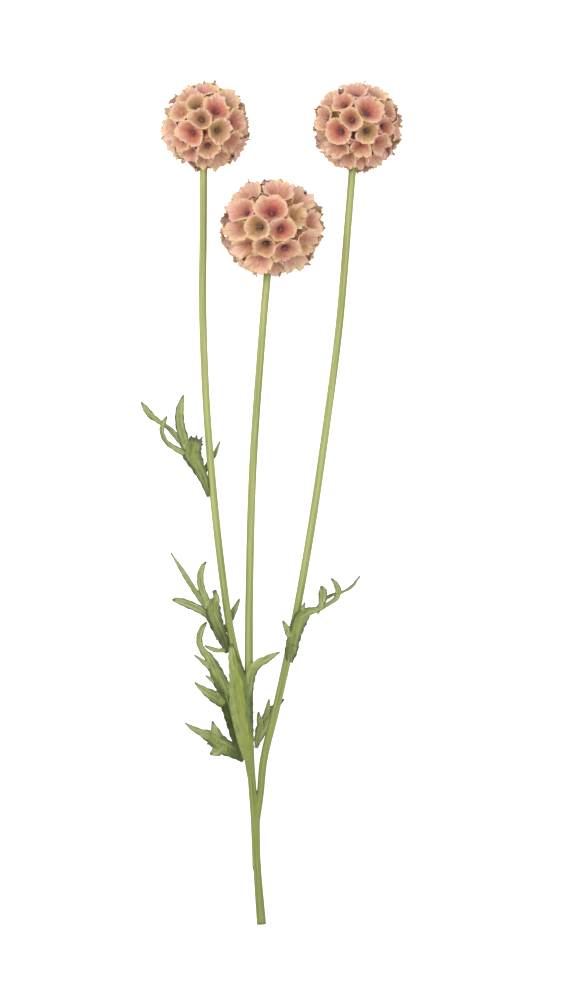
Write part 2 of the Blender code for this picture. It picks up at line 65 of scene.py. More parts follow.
def put_in_scene(name, data):
    """A new object, linked into the scene, that holds a mesh, a lamp or a camera."""
    made = bpy.data.objects.new(name, data)
    bpy.context.scene.collection.objects.link(made)
    return made


camera = put_in_scene("camera", bpy.data.cameras.new("camera"))
camera.location = (*PICTURE_CENTRE, CAMERA_HEIGHT)
camera.data.lens = camera.data.sensor_width * (CAMERA_HEIGHT - STEM_LEVEL) / PICTURE_HEIGHT
bpy.context.scene.camera = camera
bpy.context.scene.view_settings.view_transform = "Standard"
print("lens, mm:", round(camera.data.lens, 1))

# %% [markdown]
# ## Shader maths in Python
# A pattern such as a stripe is arithmetic on numbers that change over the surface. Written as node
# after node it is hard to read, so a signal wraps a node's output, and Python's own signs add the
# Math nodes. Every other node comes from one method of the finish that it belongs to.

# %% Signals
def sign(operation, reflected=False):
    """One of Python's signs, as a method that adds a Math node."""
    def work(self, other):
        pair = (other, self) if reflected else (self, other)
        return self.finish.node("ShaderNodeMath", {"operation": operation}, dict(enumerate(pair)))
    return work


class Signal:
    """One output of a node, which the signs of Python's arithmetic work on."""

    __add__ = sign("ADD")
    __radd__ = sign("ADD", reflected=True)
    __sub__ = sign("SUBTRACT")
    __rsub__ = sign("SUBTRACT", reflected=True)
    __mul__ = sign("MULTIPLY")
    __rmul__ = sign("MULTIPLY", reflected=True)
    __truediv__ = sign("DIVIDE")
    __pow__ = sign("POWER")

    def __init__(self, finish, socket):
        self.finish = finish
        self.socket = socket


def srgb(red, green, blue):
    """A colour as a picture's own numbers give it, from 0 to 255, as the linear one of a shader."""
    linear = [((c / 255 + 0.055) / 1.055) ** 2.4 for c in (red, green, blue)]
    return (*linear, 1.0)


print("middle grey in linear light:", round(srgb(128, 128, 128)[0], 3))

# %% [markdown]
# ## A finish, coat by coat
# Petals and leaves are painted as a painter would: a first colour over all, then one coat after
# another, each with a share that says where it lies and how thickly. A finish keeps the colour as
# it stands, and at the end plugs it into its shader with the roughness and the relief.

# %% Finishes
class Finish:
    """A material in the making: one Principled shader and the nodes that feed it."""

    def __init__(self, name, constants):
        self.material = bpy.data.materials.new(name)
        self.material.use_nodes = True
        self.tree = self.material.node_tree
        self.shader = self.tree.nodes["Principled BSDF"]
        self.colour = None
        for socket, value in constants.items():
            self.shader.inputs[socket].default_value = value

    def plug(self, socket, value):
        if isinstance(value, Signal):
            self.tree.links.new(value.socket, socket)
        else:
            socket.default_value = value

    def node(self, kind, settings, inputs, output=0):
        made = self.tree.nodes.new(kind)
        for name, value in settings.items():
            if name == "stops":
                self.set_stops(made.color_ramp, value)
            else:
                setattr(made, name, value)
        for key, value in inputs.items():
            self.plug(made.inputs[key], value)
        return Signal(self, made.outputs[output])

    def set_stops(self, ramp, stops):
        while len(ramp.elements) < len(stops):
            ramp.elements.new(1.0)
        for element, (place, colour) in zip(ramp.elements, stops):
            element.position = place
            element.color = colour

    def place(self):
        """Where a point lies on the piece, in metres."""
        return self.node("ShaderNodeTexCoord", {}, {}, "Object")

    def attribute(self, name, output="Fac"):
        return self.node("ShaderNodeAttribute", {"attribute_name": name}, {}, output)

    def part(self, vector, axis):
        return self.node("ShaderNodeSeparateXYZ", {}, {0: vector}, axis)

    def parts(self, vector):
        return [self.part(vector, axis) for axis in range(3)]

    def size_of(self, value):
        return self.node("ShaderNodeMath", {"operation": "ABSOLUTE"}, {0: value})

    def step(self, value, low, high):
        """0 at low and 1 at high, smooth between them, and level beyond. High may be the smaller."""
        inputs = {"Value": value, "From Min": low, "From Max": high}
        return self.node("ShaderNodeMapRange", {"interpolation_type": "SMOOTHSTEP"}, inputs)

    def mottle(self, vector, scale, detail, roughness=0.6):
        inputs = {"Vector": vector, "Scale": scale, "Detail": detail, "Roughness": roughness}
        return self.node("ShaderNodeTexNoise", {}, inputs)

    def stretched(self, vector, scale):
        return self.node("ShaderNodeMapping", {}, {"Vector": vector, "Scale": scale})

    def ramp(self, value, stops):
        return self.node("ShaderNodeValToRGB", {"stops": stops}, {0: value})

    def mix(self, share, first, second):
        inputs = {0: share, 6: first, 7: second}
        return self.node("ShaderNodeMix", {"data_type": "RGBA"}, inputs, output=2)

    def coat(self, share, colour):
        """Lays a colour over the one that is there, as thickly as share says."""
        self.colour = self.mix(share, self.colour, colour)

    def painted_glow(self):
        """Paints a little light onto the surface: it glows in its own colour, though it is no lamp."""
        self.plug(self.shader.inputs["Emission Color"], self.colour)

    def finish_with(self, roughness, height, depth):
        """Plugs in what changes over the surface: its colour, its roughness and its relief."""
        self.plug(self.shader.inputs["Base Color"], self.colour)
        self.plug(self.shader.inputs["Roughness"], roughness)
        relief = self.node("ShaderNodeBump", {}, {"Height": height, "Distance": depth})
        self.plug(self.shader.inputs["Normal"], relief)
        return self.material


# %% [markdown]
# ## Routes
# Stems and fingers of leaves are both given by a few listed points. A Catmull-Rom curve goes
# through every one of them with no corners, which suits a plant, and it carries each point's other
# values, such as a radius, along in the same way.

# %% Smooth routes
def smooth_route(points, spacing):
    """Samples of the Catmull-Rom curve through points, whose first three values are a place."""
    p = np.array(points, float)
    p = np.vstack([2 * p[0] - p[1], p, 2 * p[-1] - p[-2]])
    samples = []
    for a, b, c, d in zip(p, p[1:], p[2:], p[3:]):
        steps = max(1, round(np.linalg.norm((c - b)[:3]) / spacing))
        for t in np.arange(steps) / steps:
            bent = 2 * a - 5 * b + 4 * c - d
            pulled = -a + 3 * b - 3 * c + d
            samples.append(0.5 * (2 * b + (c - a) * t + bent * t**2 + pulled * t**3))
    samples.append(p[-2])
    return np.array(samples)


print("samples on 10 mm:", len(smooth_route([(0, 0, 0), (10 * MM, 0, 0)], MM)))

# %% [markdown]
# ## The heads: where each cup grows
# A head is a ball of cups. The ones that face up are placed one by one, each by where its axis leaves
# the ball (x and y, in radii), how much wider than its neighbours it opens, how rosy it is and how
# crumpled. Centres and radii are the solids' own, in millimetres. A dry head is seldom quite round,
# so once its cups are made it is stretched a little: that says by how much, across and lengthways.

# %% The heads' sizes and the cups that face up
TABLE_BITE = 0.6 * MM
LOWEST_SHARE = 0.964
HEADS = {
    "left": {
        "centre": (-38.9, 223.7),
        "radius": 26.1,
        "stretch": (0.965, 0.96),
        "seed": 11,
        "facing_up": [
            (-0.1, 0.15, -0.04, 0.3, 0.4), (-0.38, -0.21, 0.04, 1.0, 0.45), (0.34, -0.15, 0.0, 0.1, 0.5),
            (0.28, 0.39, 0.04, 0.9, 0.45), (0.06, -0.58, -0.03, 0.4, 0.5), (-0.23, 0.51, -0.05, 0.3, 0.5),
            (0.65, -0.41, 0.01, 0.8, 0.7), (0.74, 0.1, 0.0, 0.9, 0.6), (-0.66, 0.36, 0.0, 0.5, 0.8),
            (-0.6, -0.42, 0.0, 0.6, 0.5), (-0.85, -0.05, 0.0, 0.4, 0.7), (-0.38, -0.72, 0.0, 0.8, 0.7),
            (-0.45, 0.74, 0.0, 0.6, 0.5), (0.0, 0.9, 0.0, 0.8, 0.6), (0.57, 0.62, 0.0, 0.5, 0.7),
            (0.32, -0.78, 0.0, 0.6, 0.8), (-0.04, -0.84, -0.02, 0.6, 0.8),
        ],
    },
    "middle": {
        "centre": (0.3, 163.5),
        "radius": 30.3,
        "stretch": (0.975, 0.93),
        "seed": 5,
        "facing_up": [
            (-0.28, 0.0, -0.03, 0.0, 0.4), (0.22, -0.06, 0.01, 0.8, 0.5), (0.01, 0.34, 0.04, 1.0, 0.35),
            (-0.14, -0.42, -0.04, 0.4, 0.5), (-0.63, 0.36, 0.01, 0.9, 0.5), (0.17, 0.77, 0.02, 0.8, 0.7),
            (0.5, 0.28, 0.0, 0.2, 1.0), (0.58, 0.62, 0.0, 0.5, 1.0), (-0.51, 0.72, 0.0, 0.6, 0.7),
            (-0.68, -0.05, 0.0, 0.6, 0.9), (0.31, -0.53, 0.03, 0.6, 0.5), (-0.55, -0.43, 0.0, 0.7, 0.9),
            (-0.26, -0.77, 0.02, 0.8, 0.8), (0.72, -0.3, 0.02, 0.7, 1.0), (0.83, 0.11, 0.0, 0.8, 0.9),
            (0.46, -0.75, 0.0, 0.3, 1.0), (0.11, -0.86, -0.01, 0.5, 0.8),
        ],
    },
    "right": {
        "centre": (51.0, 223.5),
        "radius": 26.7,
        "stretch": (0.95, 0.965),
        "seed": 23,
        "facing_up": [
            (-0.16, 0.15, -0.03, 0.6, 0.35), (0.25, 0.36, 0.05, 0.7, 0.45), (0.24, -0.15, -0.01, 0.1, 0.4),
            (-0.48, -0.16, 0.03, 0.9, 0.3), (0.09, -0.55, -0.04, 0.6, 0.7), (0.55, -0.45, 0.0, 0.6, 0.7),
            (-0.36, 0.57, -0.01, 0.7, 0.5), (-0.03, 0.84, 0.0, 0.8, 0.4), (0.42, 0.8, 0.0, 0.4, 0.7),
            (0.72, 0.38, 0.0, 0.6, 0.6), (0.7, -0.02, -0.02, 0.7, 0.5), (0.42, -0.8, 0.0, 0.9, 0.8),
            (-0.5, -0.56, 0.0, 0.5, 0.7), (-0.83, 0.2, 0.0, 0.6, 0.5), (-0.68, 0.58, -0.02, 0.5, 0.6),
            (-0.26, -0.8, 0.0, 0.5, 0.7), (0.1, -0.86, -0.02, 0.8, 0.8),
        ],
    },
}


def head_radius(name):
    return HEADS[name]["radius"] * MM


def head_centre(name):
    x, y = HEADS[name]["centre"]
    return Vector((x * MM, y * MM, LOWEST_SHARE * head_radius(name) - TABLE_BITE))


print("heads, mm:", {name: [round(x / MM, 1) for x in head_centre(name)] for name in HEADS})

# %% [markdown]
# ## The stem's routes
# The stem is one plant part: a main shoot to the middle head, with a branch to either side. Each
# branch starts inside the one that it grows from. Seen from above its route is listed point by point.
# Its height follows a rule: it rises evenly from the cut end, and bends up to its own head at the last.

# %% Branches
CUT_END_Y = -250.0
SLOPE = 0.0459
FOOT_SHARE = 0.9
BRANCH_ROUTES = {
    "middle": [
        (-5.9, -250.0, 2.75), (-7.6, -229.0, 2.45), (-8.4, -218.2, 2.3), (-8.7, -216.0, 2.62),
        (-9.0, -210.1, 2.45), (-9.8, -185.8, 2.65), (-11.4, -168.0, 2.35), (-13.0, -143.0, 2.4),
        (-13.4, -110.4, 2.5), (-13.1, -51.0, 2.35), (-11.1, 20.2, 2.3), (-6.2, 91.4, 2.25),
        (-2.7, 132.9, 2.25),
    ],
    "left": [
        (-12.5, -162.6, 2.0), (-14.5, -146.0, 2.25), (-15.7, -128.2, 2.3), (-16.9, -110.4, 2.3),
        (-18.8, -98.5, 2.3), (-22.7, -83.7, 2.3), (-27.4, -55.8, 2.2), (-33.8, -1.2, 2.25),
        (-38.6, 58.8, 2.2), (-40.8, 115.1, 2.25), (-40.5, 156.7, 2.2), (-40.2, 197.0, 2.2),
    ],
    "right": [
        (-9.2, -189.9, 2.1), (-6.7, -172.7, 2.1), (-4.3, -150.2, 2.3), (3.0, -120.5, 2.3),
        (9.5, -91.4, 2.4), (16.0, -58.2, 2.3), (24.6, -8.3, 2.35), (32.9, 48.7, 2.25),
        (40.2, 105.6, 2.25), (45.6, 168.6, 2.2), (47.8, 195.9, 2.2),
    ],
}


def branch_route(name):
    plan = BRANCH_ROUTES[name]
    foot_y, top_y = plan[0][1], plan[-1][1]
    foot_height = FOOT_SHARE * BRANCH_ROUTES["middle"][0][2]
    top_rise = head_centre(name).z / MM - foot_height - SLOPE * (top_y - CUT_END_Y)
    route = []
    for x, y, radius in plan:
        along = (y - foot_y) / (top_y - foot_y)
        height = foot_height + SLOPE * (y - CUT_END_Y) + top_rise * along**2
        route.append((x * MM, y * MM, height * MM, radius * MM))
    return route


def stem_direction(name):
    """From the head's centre towards the stem that carries it."""
    return (Vector(branch_route(name)[-1][:3]) - head_centre(name)).normalized()


print("tops, mm:", {name: [round(x / MM, 1) for x in branch_route(name)[-1][:3]] for name in HEADS})

# %% [markdown]
# ## Directions for the cups
# Points that push each other apart on a sphere settle into an even pattern with no seam. They start
# on a spiral that goes a golden turn round at each step, which is nearly even already. The ones given
# in the table stay put, and so do the lowest cup, which the head lies on, and the stem, which pushes
# less and so takes less room. Every cup gets a rank too: of two that meet, the lower rank is on top.

# %% Spreading the cups
CUPS_PER_HEAD = 43
STEM_ROOM = 0.6
SPREAD_ROUNDS = 160
SPREAD_STEP = 0.006
SPIRAL_TOP = 0.1
SPIRAL_DEPTH = 1.05
GOLDEN_TURN = math.pi * (3 - math.sqrt(5))
ROSY_RANGE = (0.1, 1.0)
CRUMPLED_RANGE = (0.3, 0.8)


def spiral_down(top, depth, count):
    """Points on a ball of radius 1, evenly down from a height, a golden turn round at each."""
    heights = top - depth * (np.arange(count) + 0.5) / count
    wide = np.sqrt(1 - heights**2)
    bearings = GOLDEN_TURN * np.arange(count)
    return np.stack([wide * np.cos(bearings), wide * np.sin(bearings), heights], axis=1)


def even_directions(pinned, count):
    spiral = spiral_down(SPIRAL_TOP, SPIRAL_DEPTH, count - len(pinned))
    placed = np.array([*map(tuple, pinned), *spiral])
    room = np.ones(count)
    room[0] = STEM_ROOM
    for i in range(SPREAD_ROUNDS):
        apart = placed[:, None] - placed[None]
        distance = np.linalg.norm(apart, axis=2) + np.eye(count)
        push = (apart * room[:, None] / distance[..., None] ** 4).sum(axis=1)
        push[: len(pinned)] = 0
        placed = placed + SPREAD_STEP * (1 - i / SPREAD_ROUNDS) * push
        placed /= np.linalg.norm(placed, axis=1)[:, None]
    return [Vector(p) for p in placed]


def cup_plan(name):
    """Directions, extra widths, ranks and looks of a head's cups. The first is the stem's place."""
    facing_up = HEADS[name]["facing_up"]
    up = [Vector((x, y, math.sqrt(1 - x * x - y * y))) for x, y, *_ in facing_up]
    pinned = [stem_direction(name), Vector((0, 0, -1)), *up]
    directions = even_directions(pinned, CUPS_PER_HEAD + 1)
    draw = random.Random(HEADS[name]["seed"])
    free = len(directions) - len(pinned)
    wider = [0.0, 0.0, *(w for _, _, w, _, _ in facing_up), *[0.0] * free]
    looks = [(0.0, 0.0), (0.5, 0.0), *((rosy, crumpled) for *_, rosy, crumpled in facing_up)]
    looks += [(draw.uniform(*ROSY_RANGE), draw.uniform(*CRUMPLED_RANGE)) for _ in range(free)]
    rank = [len(directions), len(directions) + 1, *range(len(up))]
    rank += draw.sample(range(len(up), len(up) + free), free)
    return directions, wider, rank, looks, draw


plans = {name: cup_plan(name) for name in HEADS}
for name, (directions, *_) in plans.items():
    apart = [min(a.angle(b) for b in directions if b is not a) for a in directions]
    print(name, "neighbours are", round(math.degrees(min(apart))), "degrees apart or more")

# %% [markdown]
# ## A cup before it is bent
# All cups start as one flat disc of rings and spokes: a capped circle whose edge is extruded
# outwards ring after ring. Later each cup takes a copy and lifts every vertex to its own place, by
# how far out it lies and on which bearing. The rings lie closer where a cup bends most.

# %% The flat discs
SPOKES = 66
RING_SHARES = [0.14, 0.28, 0.36, 0.43, 0.51, 0.6, 0.7, 0.8, 0.89, 0.96, 1.0]
RUFFLE_SPOKES = 22
RUFFLE_RING_SHARES = [0.3, 0.5, 0.7, 0.88, 1.0]


def only(kind, items):
    return [item for item in items if isinstance(item, kind)]


def to_mesh(shape, name):
    mesh = bpy.data.meshes.new(name)
    shape.to_mesh(mesh)
    shape.free()
    return mesh


def make_disc(spokes, ring_shares):
    shape = bmesh.new()
    bmesh.ops.create_circle(shape, cap_ends=True, cap_tris=True, segments=spokes,
                            radius=ring_shares[0])
    for inner, outer in zip(ring_shares, ring_shares[1:]):
        border = [edge for edge in shape.edges if edge.is_boundary]
        grown = bmesh.ops.extrude_edge_only(shape, edges=border)["geom"]
        bmesh.ops.scale(shape, vec=(outer / inner,) * 3, verts=only(bmesh.types.BMVert, grown))
    bmesh.ops.recalc_face_normals(shape, faces=shape.faces)
    return to_mesh(shape, "flat_disc")


cup_disc = make_disc(SPOKES, RING_SHARES)
ruffle_disc = make_disc(RUFFLE_SPOKES, RUFFLE_RING_SHARES)
print("vertices of a cup:", len(cup_disc.vertices), "and of a ruffle:", len(ruffle_disc.vertices))

# %% [markdown]
# ## How far a cup reaches
# Two neighbours meet half-way between their axes. The one that ranks higher reaches on over the
# other, whose rim dips under it, as petals overlap. Averaging over a few bearings rounds off the
# corners, where three cups meet and a small dark gap stays open between them.

# %% Reach and lift of a rim
WIDEST_RIM = 0.315
STEM_CLEARING = 0.12
NEIGHBOUR_RANGE = 1.4
LEAST_FACING = 0.1
OVERLAP = 0.06
TUCK = -0.03
LIFT = 0.025
DIP = 0.045
SOFTENING = 4


def side_axes(axis):
    first = axis.orthogonal().normalized()
    return first, axis.cross(first)


def softened(values):
    """The running mean of values that go once round a rim."""
    window = range(-SOFTENING, SOFTENING + 1)
    return sum(np.roll(values, k) for k in window) / len(window)


def borders_of(directions, wider, rank, index):
    """A cup's borders: the bearing of each, its angle from the axis, and whether the cup is on top."""
    axis = directions[index]
    first, second = side_axes(axis)
    borders = []
    for other, direction in enumerate(directions):
        apart = axis.angle(direction)
        if other == index or apart > NEIGHBOUR_RANGE:
            continue
        bearing = math.atan2(direction.dot(second), direction.dot(first))
        half_way = (apart + wider[index] - wider[other]) / 2
        border = apart - STEM_CLEARING if other == 0 else half_way
        borders.append((bearing, border, rank[index] < rank[other]))
    return borders


def rim_of(directions, wider, rank, index):
    """For every spoke: the angle at which the rim ends, and its lift as a share of the radius."""
    borders = borders_of(directions, wider, rank, index)
    reaches, lifts = [], []
    for spoke in range(SPOKES):
        reach, lift = WIDEST_RIM + wider[index], LIFT
        for bearing, border, on_top in borders:
            facing = math.cos(math.tau * spoke / SPOKES - bearing)
            if facing < LEAST_FACING:
                continue
            found = math.atan(math.tan(border) / facing)
            found *= 1 + (OVERLAP if on_top else TUCK)
            if found < reach:
                reach, lift = found, (LIFT if on_top else -DIP)
        reaches.append(reach)
        lifts.append(lift)
    return softened(np.array(reaches)), softened(np.array(lifts))


rims = {}
for name, (directions, wider, rank, *_) in plans.items():
    rims[name] = {index: rim_of(directions, wider, rank, index) for index in range(1, len(directions))}
    reach = np.mean([reaches.mean() for reaches, _ in rims[name].values()])
    print(name, "cups reach", round(math.degrees(reach), 1), "degrees from their axes")

# %% [markdown]
# ## Waves round a rim
# A dry rim isn't a circle. A few cosines, each of which goes a whole number of times round, add up
# to a wave that closes on itself, and drawing their sizes by chance makes no two rims alike.

# %% Waves
RIM_WAVES = (1, 2, 3, 5, 8, 12)
WAVE_SIZES = (0.4, 1.0)
WAVE_FADE = 0.68


def cup_waves(draw):
    """Slow waves round a rim: how many times each goes round, its size and its phase."""
    return [(count, draw.uniform(*WAVE_SIZES) / count**WAVE_FADE, draw.uniform(0, math.tau))
            for count in RIM_WAVES]


def wave_at(waves, bearing):
    return sum(size * math.cos(count * bearing + phase) for count, size, phase in waves)


def between(limits, share):
    low, high = limits
    return low + (high - low) * share


def clamped(value):
    return min(1.0, max(0.0, value))


print("sizes of the waves:", [round(1 / count**WAVE_FADE, 2) for count in RIM_WAVES])

# %% [markdown]
# ## A cup's own shape
# From a flat floor the wall climbs in a funnel that flares a little. It is thin and dry, so it has
# crumpled: its rim waves up and down and in and out, and a slow noise dents the wall. A cup can
# also tell how high it stands in any direction from the head's centre, so that the ones under it
# know what room it leaves them. Heights are shares of the head's radius.

# %% The surface of a cup
FLOOR_WIDTH = 0.3
FLOOR_LEVEL = 0.79
FLARE = 1.35
PROUD = 0.03
WAVE_DEPTH = (0.03, 0.056)
WAVE_ONSET = 1.2
LOBE_DEPTH = (0.06, 0.125)
DENT_DEPTH = (0.035, 0.11)
DENT_SCALE = 0.19
DENT_MIDDLE = 0.35
OWN_DENTS = 7
FINER_DENTS = 2.3
REST_TILT = 0.75
PAST_RIM = 1.35
RIM_SLOPE = 0.7


def climb_at(out):
    """0 on the floor of a cup and 1 at its rim."""
    return clamped((out - FLOOR_WIDTH) / (1 - FLOOR_WIDTH))


class Cup:
    """A cup's surface, by how far out a point lies and on which bearing round the axis."""

    def __init__(self, axis, rim, crumpled, draw):
        self.axis = axis
        self.first, self.second = side_axes(axis)
        self.reaches, self.lifts = rim
        self.crumpled = crumpled
        self.up_down, self.in_out = cup_waves(draw), cup_waves(draw)
        self.proud = draw.uniform(-PROUD, PROUD) if axis.z > -REST_TILT else 0.0

    def spoke(self, bearing):
        return round(bearing / math.tau * SPOKES) % SPOKES

    def lobes(self, out, bearing):
        depth = between(LOBE_DEPTH, self.crumpled)
        return 1 + depth * wave_at(self.in_out, bearing) * climb_at(out)

    def direction(self, out, bearing):
        angle = self.reaches[self.spoke(bearing)] * out * self.lobes(out, bearing)
        sideways = self.first * math.cos(bearing) + self.second * math.sin(bearing)
        return self.axis * math.cos(angle) + sideways * math.sin(angle)

    def rise(self, out, bearing, direction):
        """How far lift, waves and dents take the wall off its plain funnel."""
        climb = climb_at(out)
        own_place = direction / DENT_SCALE + self.axis * OWN_DENTS
        crease = DENT_MIDDLE - 2 * abs(noise.noise(own_place))
        crease += DENT_MIDDLE - 2 * abs(noise.noise(direction * FINER_DENTS / DENT_SCALE)) / 2
        dent = crease * between(DENT_DEPTH, self.crumpled) * climb
        depth = between(WAVE_DEPTH, self.crumpled)
        wave = depth * wave_at(self.up_down, bearing) * climb**WAVE_ONSET
        return self.lifts[self.spoke(bearing)] * climb**2 + wave + dent

    def level(self, out, rise):
        climb = climb_at(out)
        funnel = FLOOR_LEVEL + (1 - FLOOR_LEVEL) * (1 - (1 - climb) ** FLARE)
        return funnel + self.proud * climb + rise

    def level_towards(self, direction):
        """How high the cup stands in a direction. Past the rim it soon leaves any room."""
        bearing = math.atan2(direction.dot(self.second), direction.dot(self.first))
        out = self.axis.angle(direction) / self.reaches[self.spoke(bearing)]
        if out > PAST_RIM:
            return math.inf
        out /= self.lobes(out, bearing)
        past = max(0.0, out - 1)
        return self.level(out, self.rise(out, bearing, direction)) + past * RIM_SLOPE


def cup_surfaces(name):
    directions, _, _, looks, draw = plans[name]
    return {index: Cup(directions[index], rim, looks[index][1], draw)
            for index, rim in rims[name].items()}


surfaces = {name: cup_surfaces(name) for name in HEADS}
print("cups:", {name: len(cups) for name, cups in surfaces.items()})

# %% [markdown]
# ## Lifting a disc into a cup
# Every vertex of the flat disc goes out along its bearing and up to its level, unless a cup that
# ranks higher stands there: then it stays just below that one's wall, and no rim pokes through.
# Each vertex also notes three things for the finish: its place on the flat disc with the cup's
# tint, how raised or sunken it is, and how far round the side of the head it lies. The finish turns
# the last two into painted light and shade.

# %% Bending a disc
UNDER_GAP = 0.03
PRESSED = 2.6
SIDE_LIGHT_BELOW = 0.82
SIDE_LIGHT_RANGE = 0.6
TABLE_CLEARANCE = 0.45 * MM


def bend_cup(verts, notes, cup, covers, head, look):
    spoke_note, rise_note, side_light_note = notes
    centre, radius = head
    tint, tones = look
    for vert in verts:
        out = vert.co.length
        bearing = math.atan2(vert.co.y, vert.co.x)
        direction = cup.direction(out, bearing)
        rise = cup.rise(out, bearing, direction)
        free = cup.level(out, rise)
        level = min([free, *(cover.level_towards(direction) - UNDER_GAP for cover in covers)])
        place = centre + direction * radius * level
        place.z = max(place.z, TABLE_CLEARANCE)
        toned = between(tones, out)
        vert[spoke_note] = Vector((toned * math.cos(bearing), toned * math.sin(bearing), tint))
        # For the painted shade, a wall pressed under a higher cup counts as sunk deeper still.
        vert[rise_note] = rise + PRESSED * (level - free)
        # For the painted light: how far round the side of the head the vertex lies, where the finish
        # paints it paler.
        vert[side_light_note] = clamped((SIDE_LIGHT_BELOW - abs(direction.z)) / SIDE_LIGHT_RANGE)
        vert.co = place


# %% [markdown]
# ## Ruffles between the cups
# Three round cups that meet leave a small gap. On the plant it is stuffed with the crumpled edges of
# younger cups. They are small discs, bent like the cups, on the directions that lie furthest
# from every cup's axis: those are picked one by one from a dense spiral, each clear of the last.

# %% Where the gaps are
RUFFLES = 72
SPIRAL_POINTS = 1500
RUFFLE_SPACING = 0.2


def gap_directions(directions):
    spiral = spiral_down(1, 2, SPIRAL_POINTS)
    axes = np.array([tuple(direction) for direction in directions])
    room = np.arccos(np.clip(spiral @ axes.T, -1, 1)).min(axis=1)
    found = []
    for _ in range(RUFFLES):
        best = spiral[room.argmax()]
        found.append(Vector(best))
        room[np.arccos(np.clip(spiral @ best, -1, 1)) < RUFFLE_SPACING] = 0.0
    return found


gaps = {name: gap_directions(directions) for name, (directions, *_) in plans.items()}
print("gaps:", {name: len(found) for name, found in gaps.items()})

# %% [markdown]
# ## The star in a cup
# Deep in each cup sits a dark star: a small knob with five bristles that lean on the wall, in a
# ring of pale grains. A knob is a squashed ball, a bristle is a thin cone, and a grain is a ball
# with few faces, because hundreds of them are made. Sizes are shares of the head's radius.

# %% Knob, bristles and grains
KNOB_WIDTH = 0.045
KNOB_SQUASH = 0.8
BRISTLES = 5
BRISTLE_LENGTH = 0.13
BRISTLE_LENGTHS = (0.8, 1.2)
BRISTLE_WIDTH = 0.009
BRISTLE_POINT = 0.2
BRISTLE_RISE = math.radians(42)
GRAINS = 9
GRAIN_WIDTH = 0.0095
GRAIN_WIDTHS = (0.7, 1.3)
GRAIN_RING = 0.065
GRAIN_RINGS = (0.3, 1.3)
GRAIN_HEIGHTS = (0.01, 0.045)


def turned_to(axis, place):
    """The matrix that stands +Z on axis at a place."""
    return Matrix.Translation(place) @ axis.to_track_quat("Z", "Y").to_matrix().to_4x4()


def add_star(stars, grains, place, axis, radius, draw):
    stand = turned_to(axis, place)
    squash = Matrix.Diagonal((1.0, 1.0, KNOB_SQUASH, 1.0))
    bmesh.ops.create_icosphere(stars, subdivisions=2, radius=KNOB_WIDTH * radius,
                               matrix=stand @ squash)
    start = draw.uniform(0, math.tau)
    for k in range(BRISTLES):
        length = BRISTLE_LENGTH * radius * draw.uniform(*BRISTLE_LENGTHS)
        turn = Matrix.Rotation(start + math.tau * k / BRISTLES, 4, "Z")
        lean = Matrix.Rotation(math.pi / 2 - BRISTLE_RISE, 4, "Y")
        out = Matrix.Translation((0, 0, length / 2))
        bmesh.ops.create_cone(stars, cap_ends=True, segments=5, radius1=BRISTLE_WIDTH * radius,
                              radius2=BRISTLE_POINT * BRISTLE_WIDTH * radius, depth=length,
                              matrix=stand @ turn @ lean @ out)
    for _ in range(GRAINS):
        bearing = draw.uniform(0, math.tau)
        ring = GRAIN_RING * radius * draw.uniform(*GRAIN_RINGS)
        height = radius * draw.uniform(*GRAIN_HEIGHTS)
        spot = Matrix.Translation((ring * math.cos(bearing), ring * math.sin(bearing), height))
        bmesh.ops.create_icosphere(grains, subdivisions=1, matrix=stand @ spot,
                                   radius=GRAIN_WIDTH * radius * draw.uniform(*GRAIN_WIDTHS))


# %% [markdown]
# ## Dry tips
# Here and there a greyish green tip of the outer cup sticks out past a rim, which gives the ball its
# ragged outline. A tip is a cone pressed flat, on a point of the rim and aimed outwards.

# %% Tips
TIPS_PER_CUP = 1
TIP_LENGTH = (0.07, 0.11)
TIP_WIDTH = 0.046
TIP_FLATNESS = 0.4
TIP_BLUNTNESS = 0.25
TIP_SPLAY = 1.2
SPLAY_RANGE = (0.2, 1.0)
TIP_OUT = 0.3


def add_tips(tips, rim_places, centre, axis, radius, draw):
    for place in draw.sample(rim_places, TIPS_PER_CUP):
        outwards = (place - centre).normalized()
        aside = (outwards - axis * outwards.dot(axis)).normalized()
        aim = (outwards + aside * TIP_SPLAY * draw.uniform(*SPLAY_RANGE)).normalized()
        length = draw.uniform(*TIP_LENGTH) * radius
        stand = turned_to(aim, place + aim * length * TIP_OUT)
        turn = Matrix.Rotation(draw.uniform(0, math.pi), 4, "Z")
        press = Matrix.Diagonal((1.0, TIP_FLATNESS, 1.0, 1.0))
        if place.z < length:
            continue
        bmesh.ops.create_cone(tips, cap_ends=True, segments=6, radius1=TIP_WIDTH * radius,
                              radius2=TIP_BLUNTNESS * TIP_WIDTH * radius, depth=length,
                              matrix=stand @ turn @ press)


# %% [markdown]
# ## Putting pieces in the scene
# A piece is a mesh object at the origin that rides on the flower's one body. It stands for the
# solid that it replaces, which is hidden.

# %% Adding a piece
def add_piece(name, mesh, finishes, node):
    piece = put_in_scene(name, mesh)
    for finish in finishes:
        mesh.materials.append(finish)
    mesh.shade_smooth()
    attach(piece, "root")
    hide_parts(node)
    return piece


# %% [markdown]
# ## The cups' finish
# A dry cup is papery and matt. Inside, it goes from a dark brown floor through rose or olive to a
# pale pink wall and a cream rim, with irregular darker lines that run out along it. What stands
# proud gets a painted highlight, what lies in a fold or under another cup gets a painted brown
# shade, and the sides of the ball get painted light. A faint painted glow in the walls' own colour
# stands for the little light that comes through them.
#
# The disc left each vertex its place on the flat circle, so the colour follows the cup however it
# bends: a noise read on a place's bearing alone makes lines, and one read on its place in space
# makes blotches.

# %% Papery finishes
PALE_PINK = srgb(232, 190, 174)
PALE_CREAM = srgb(231, 202, 150)
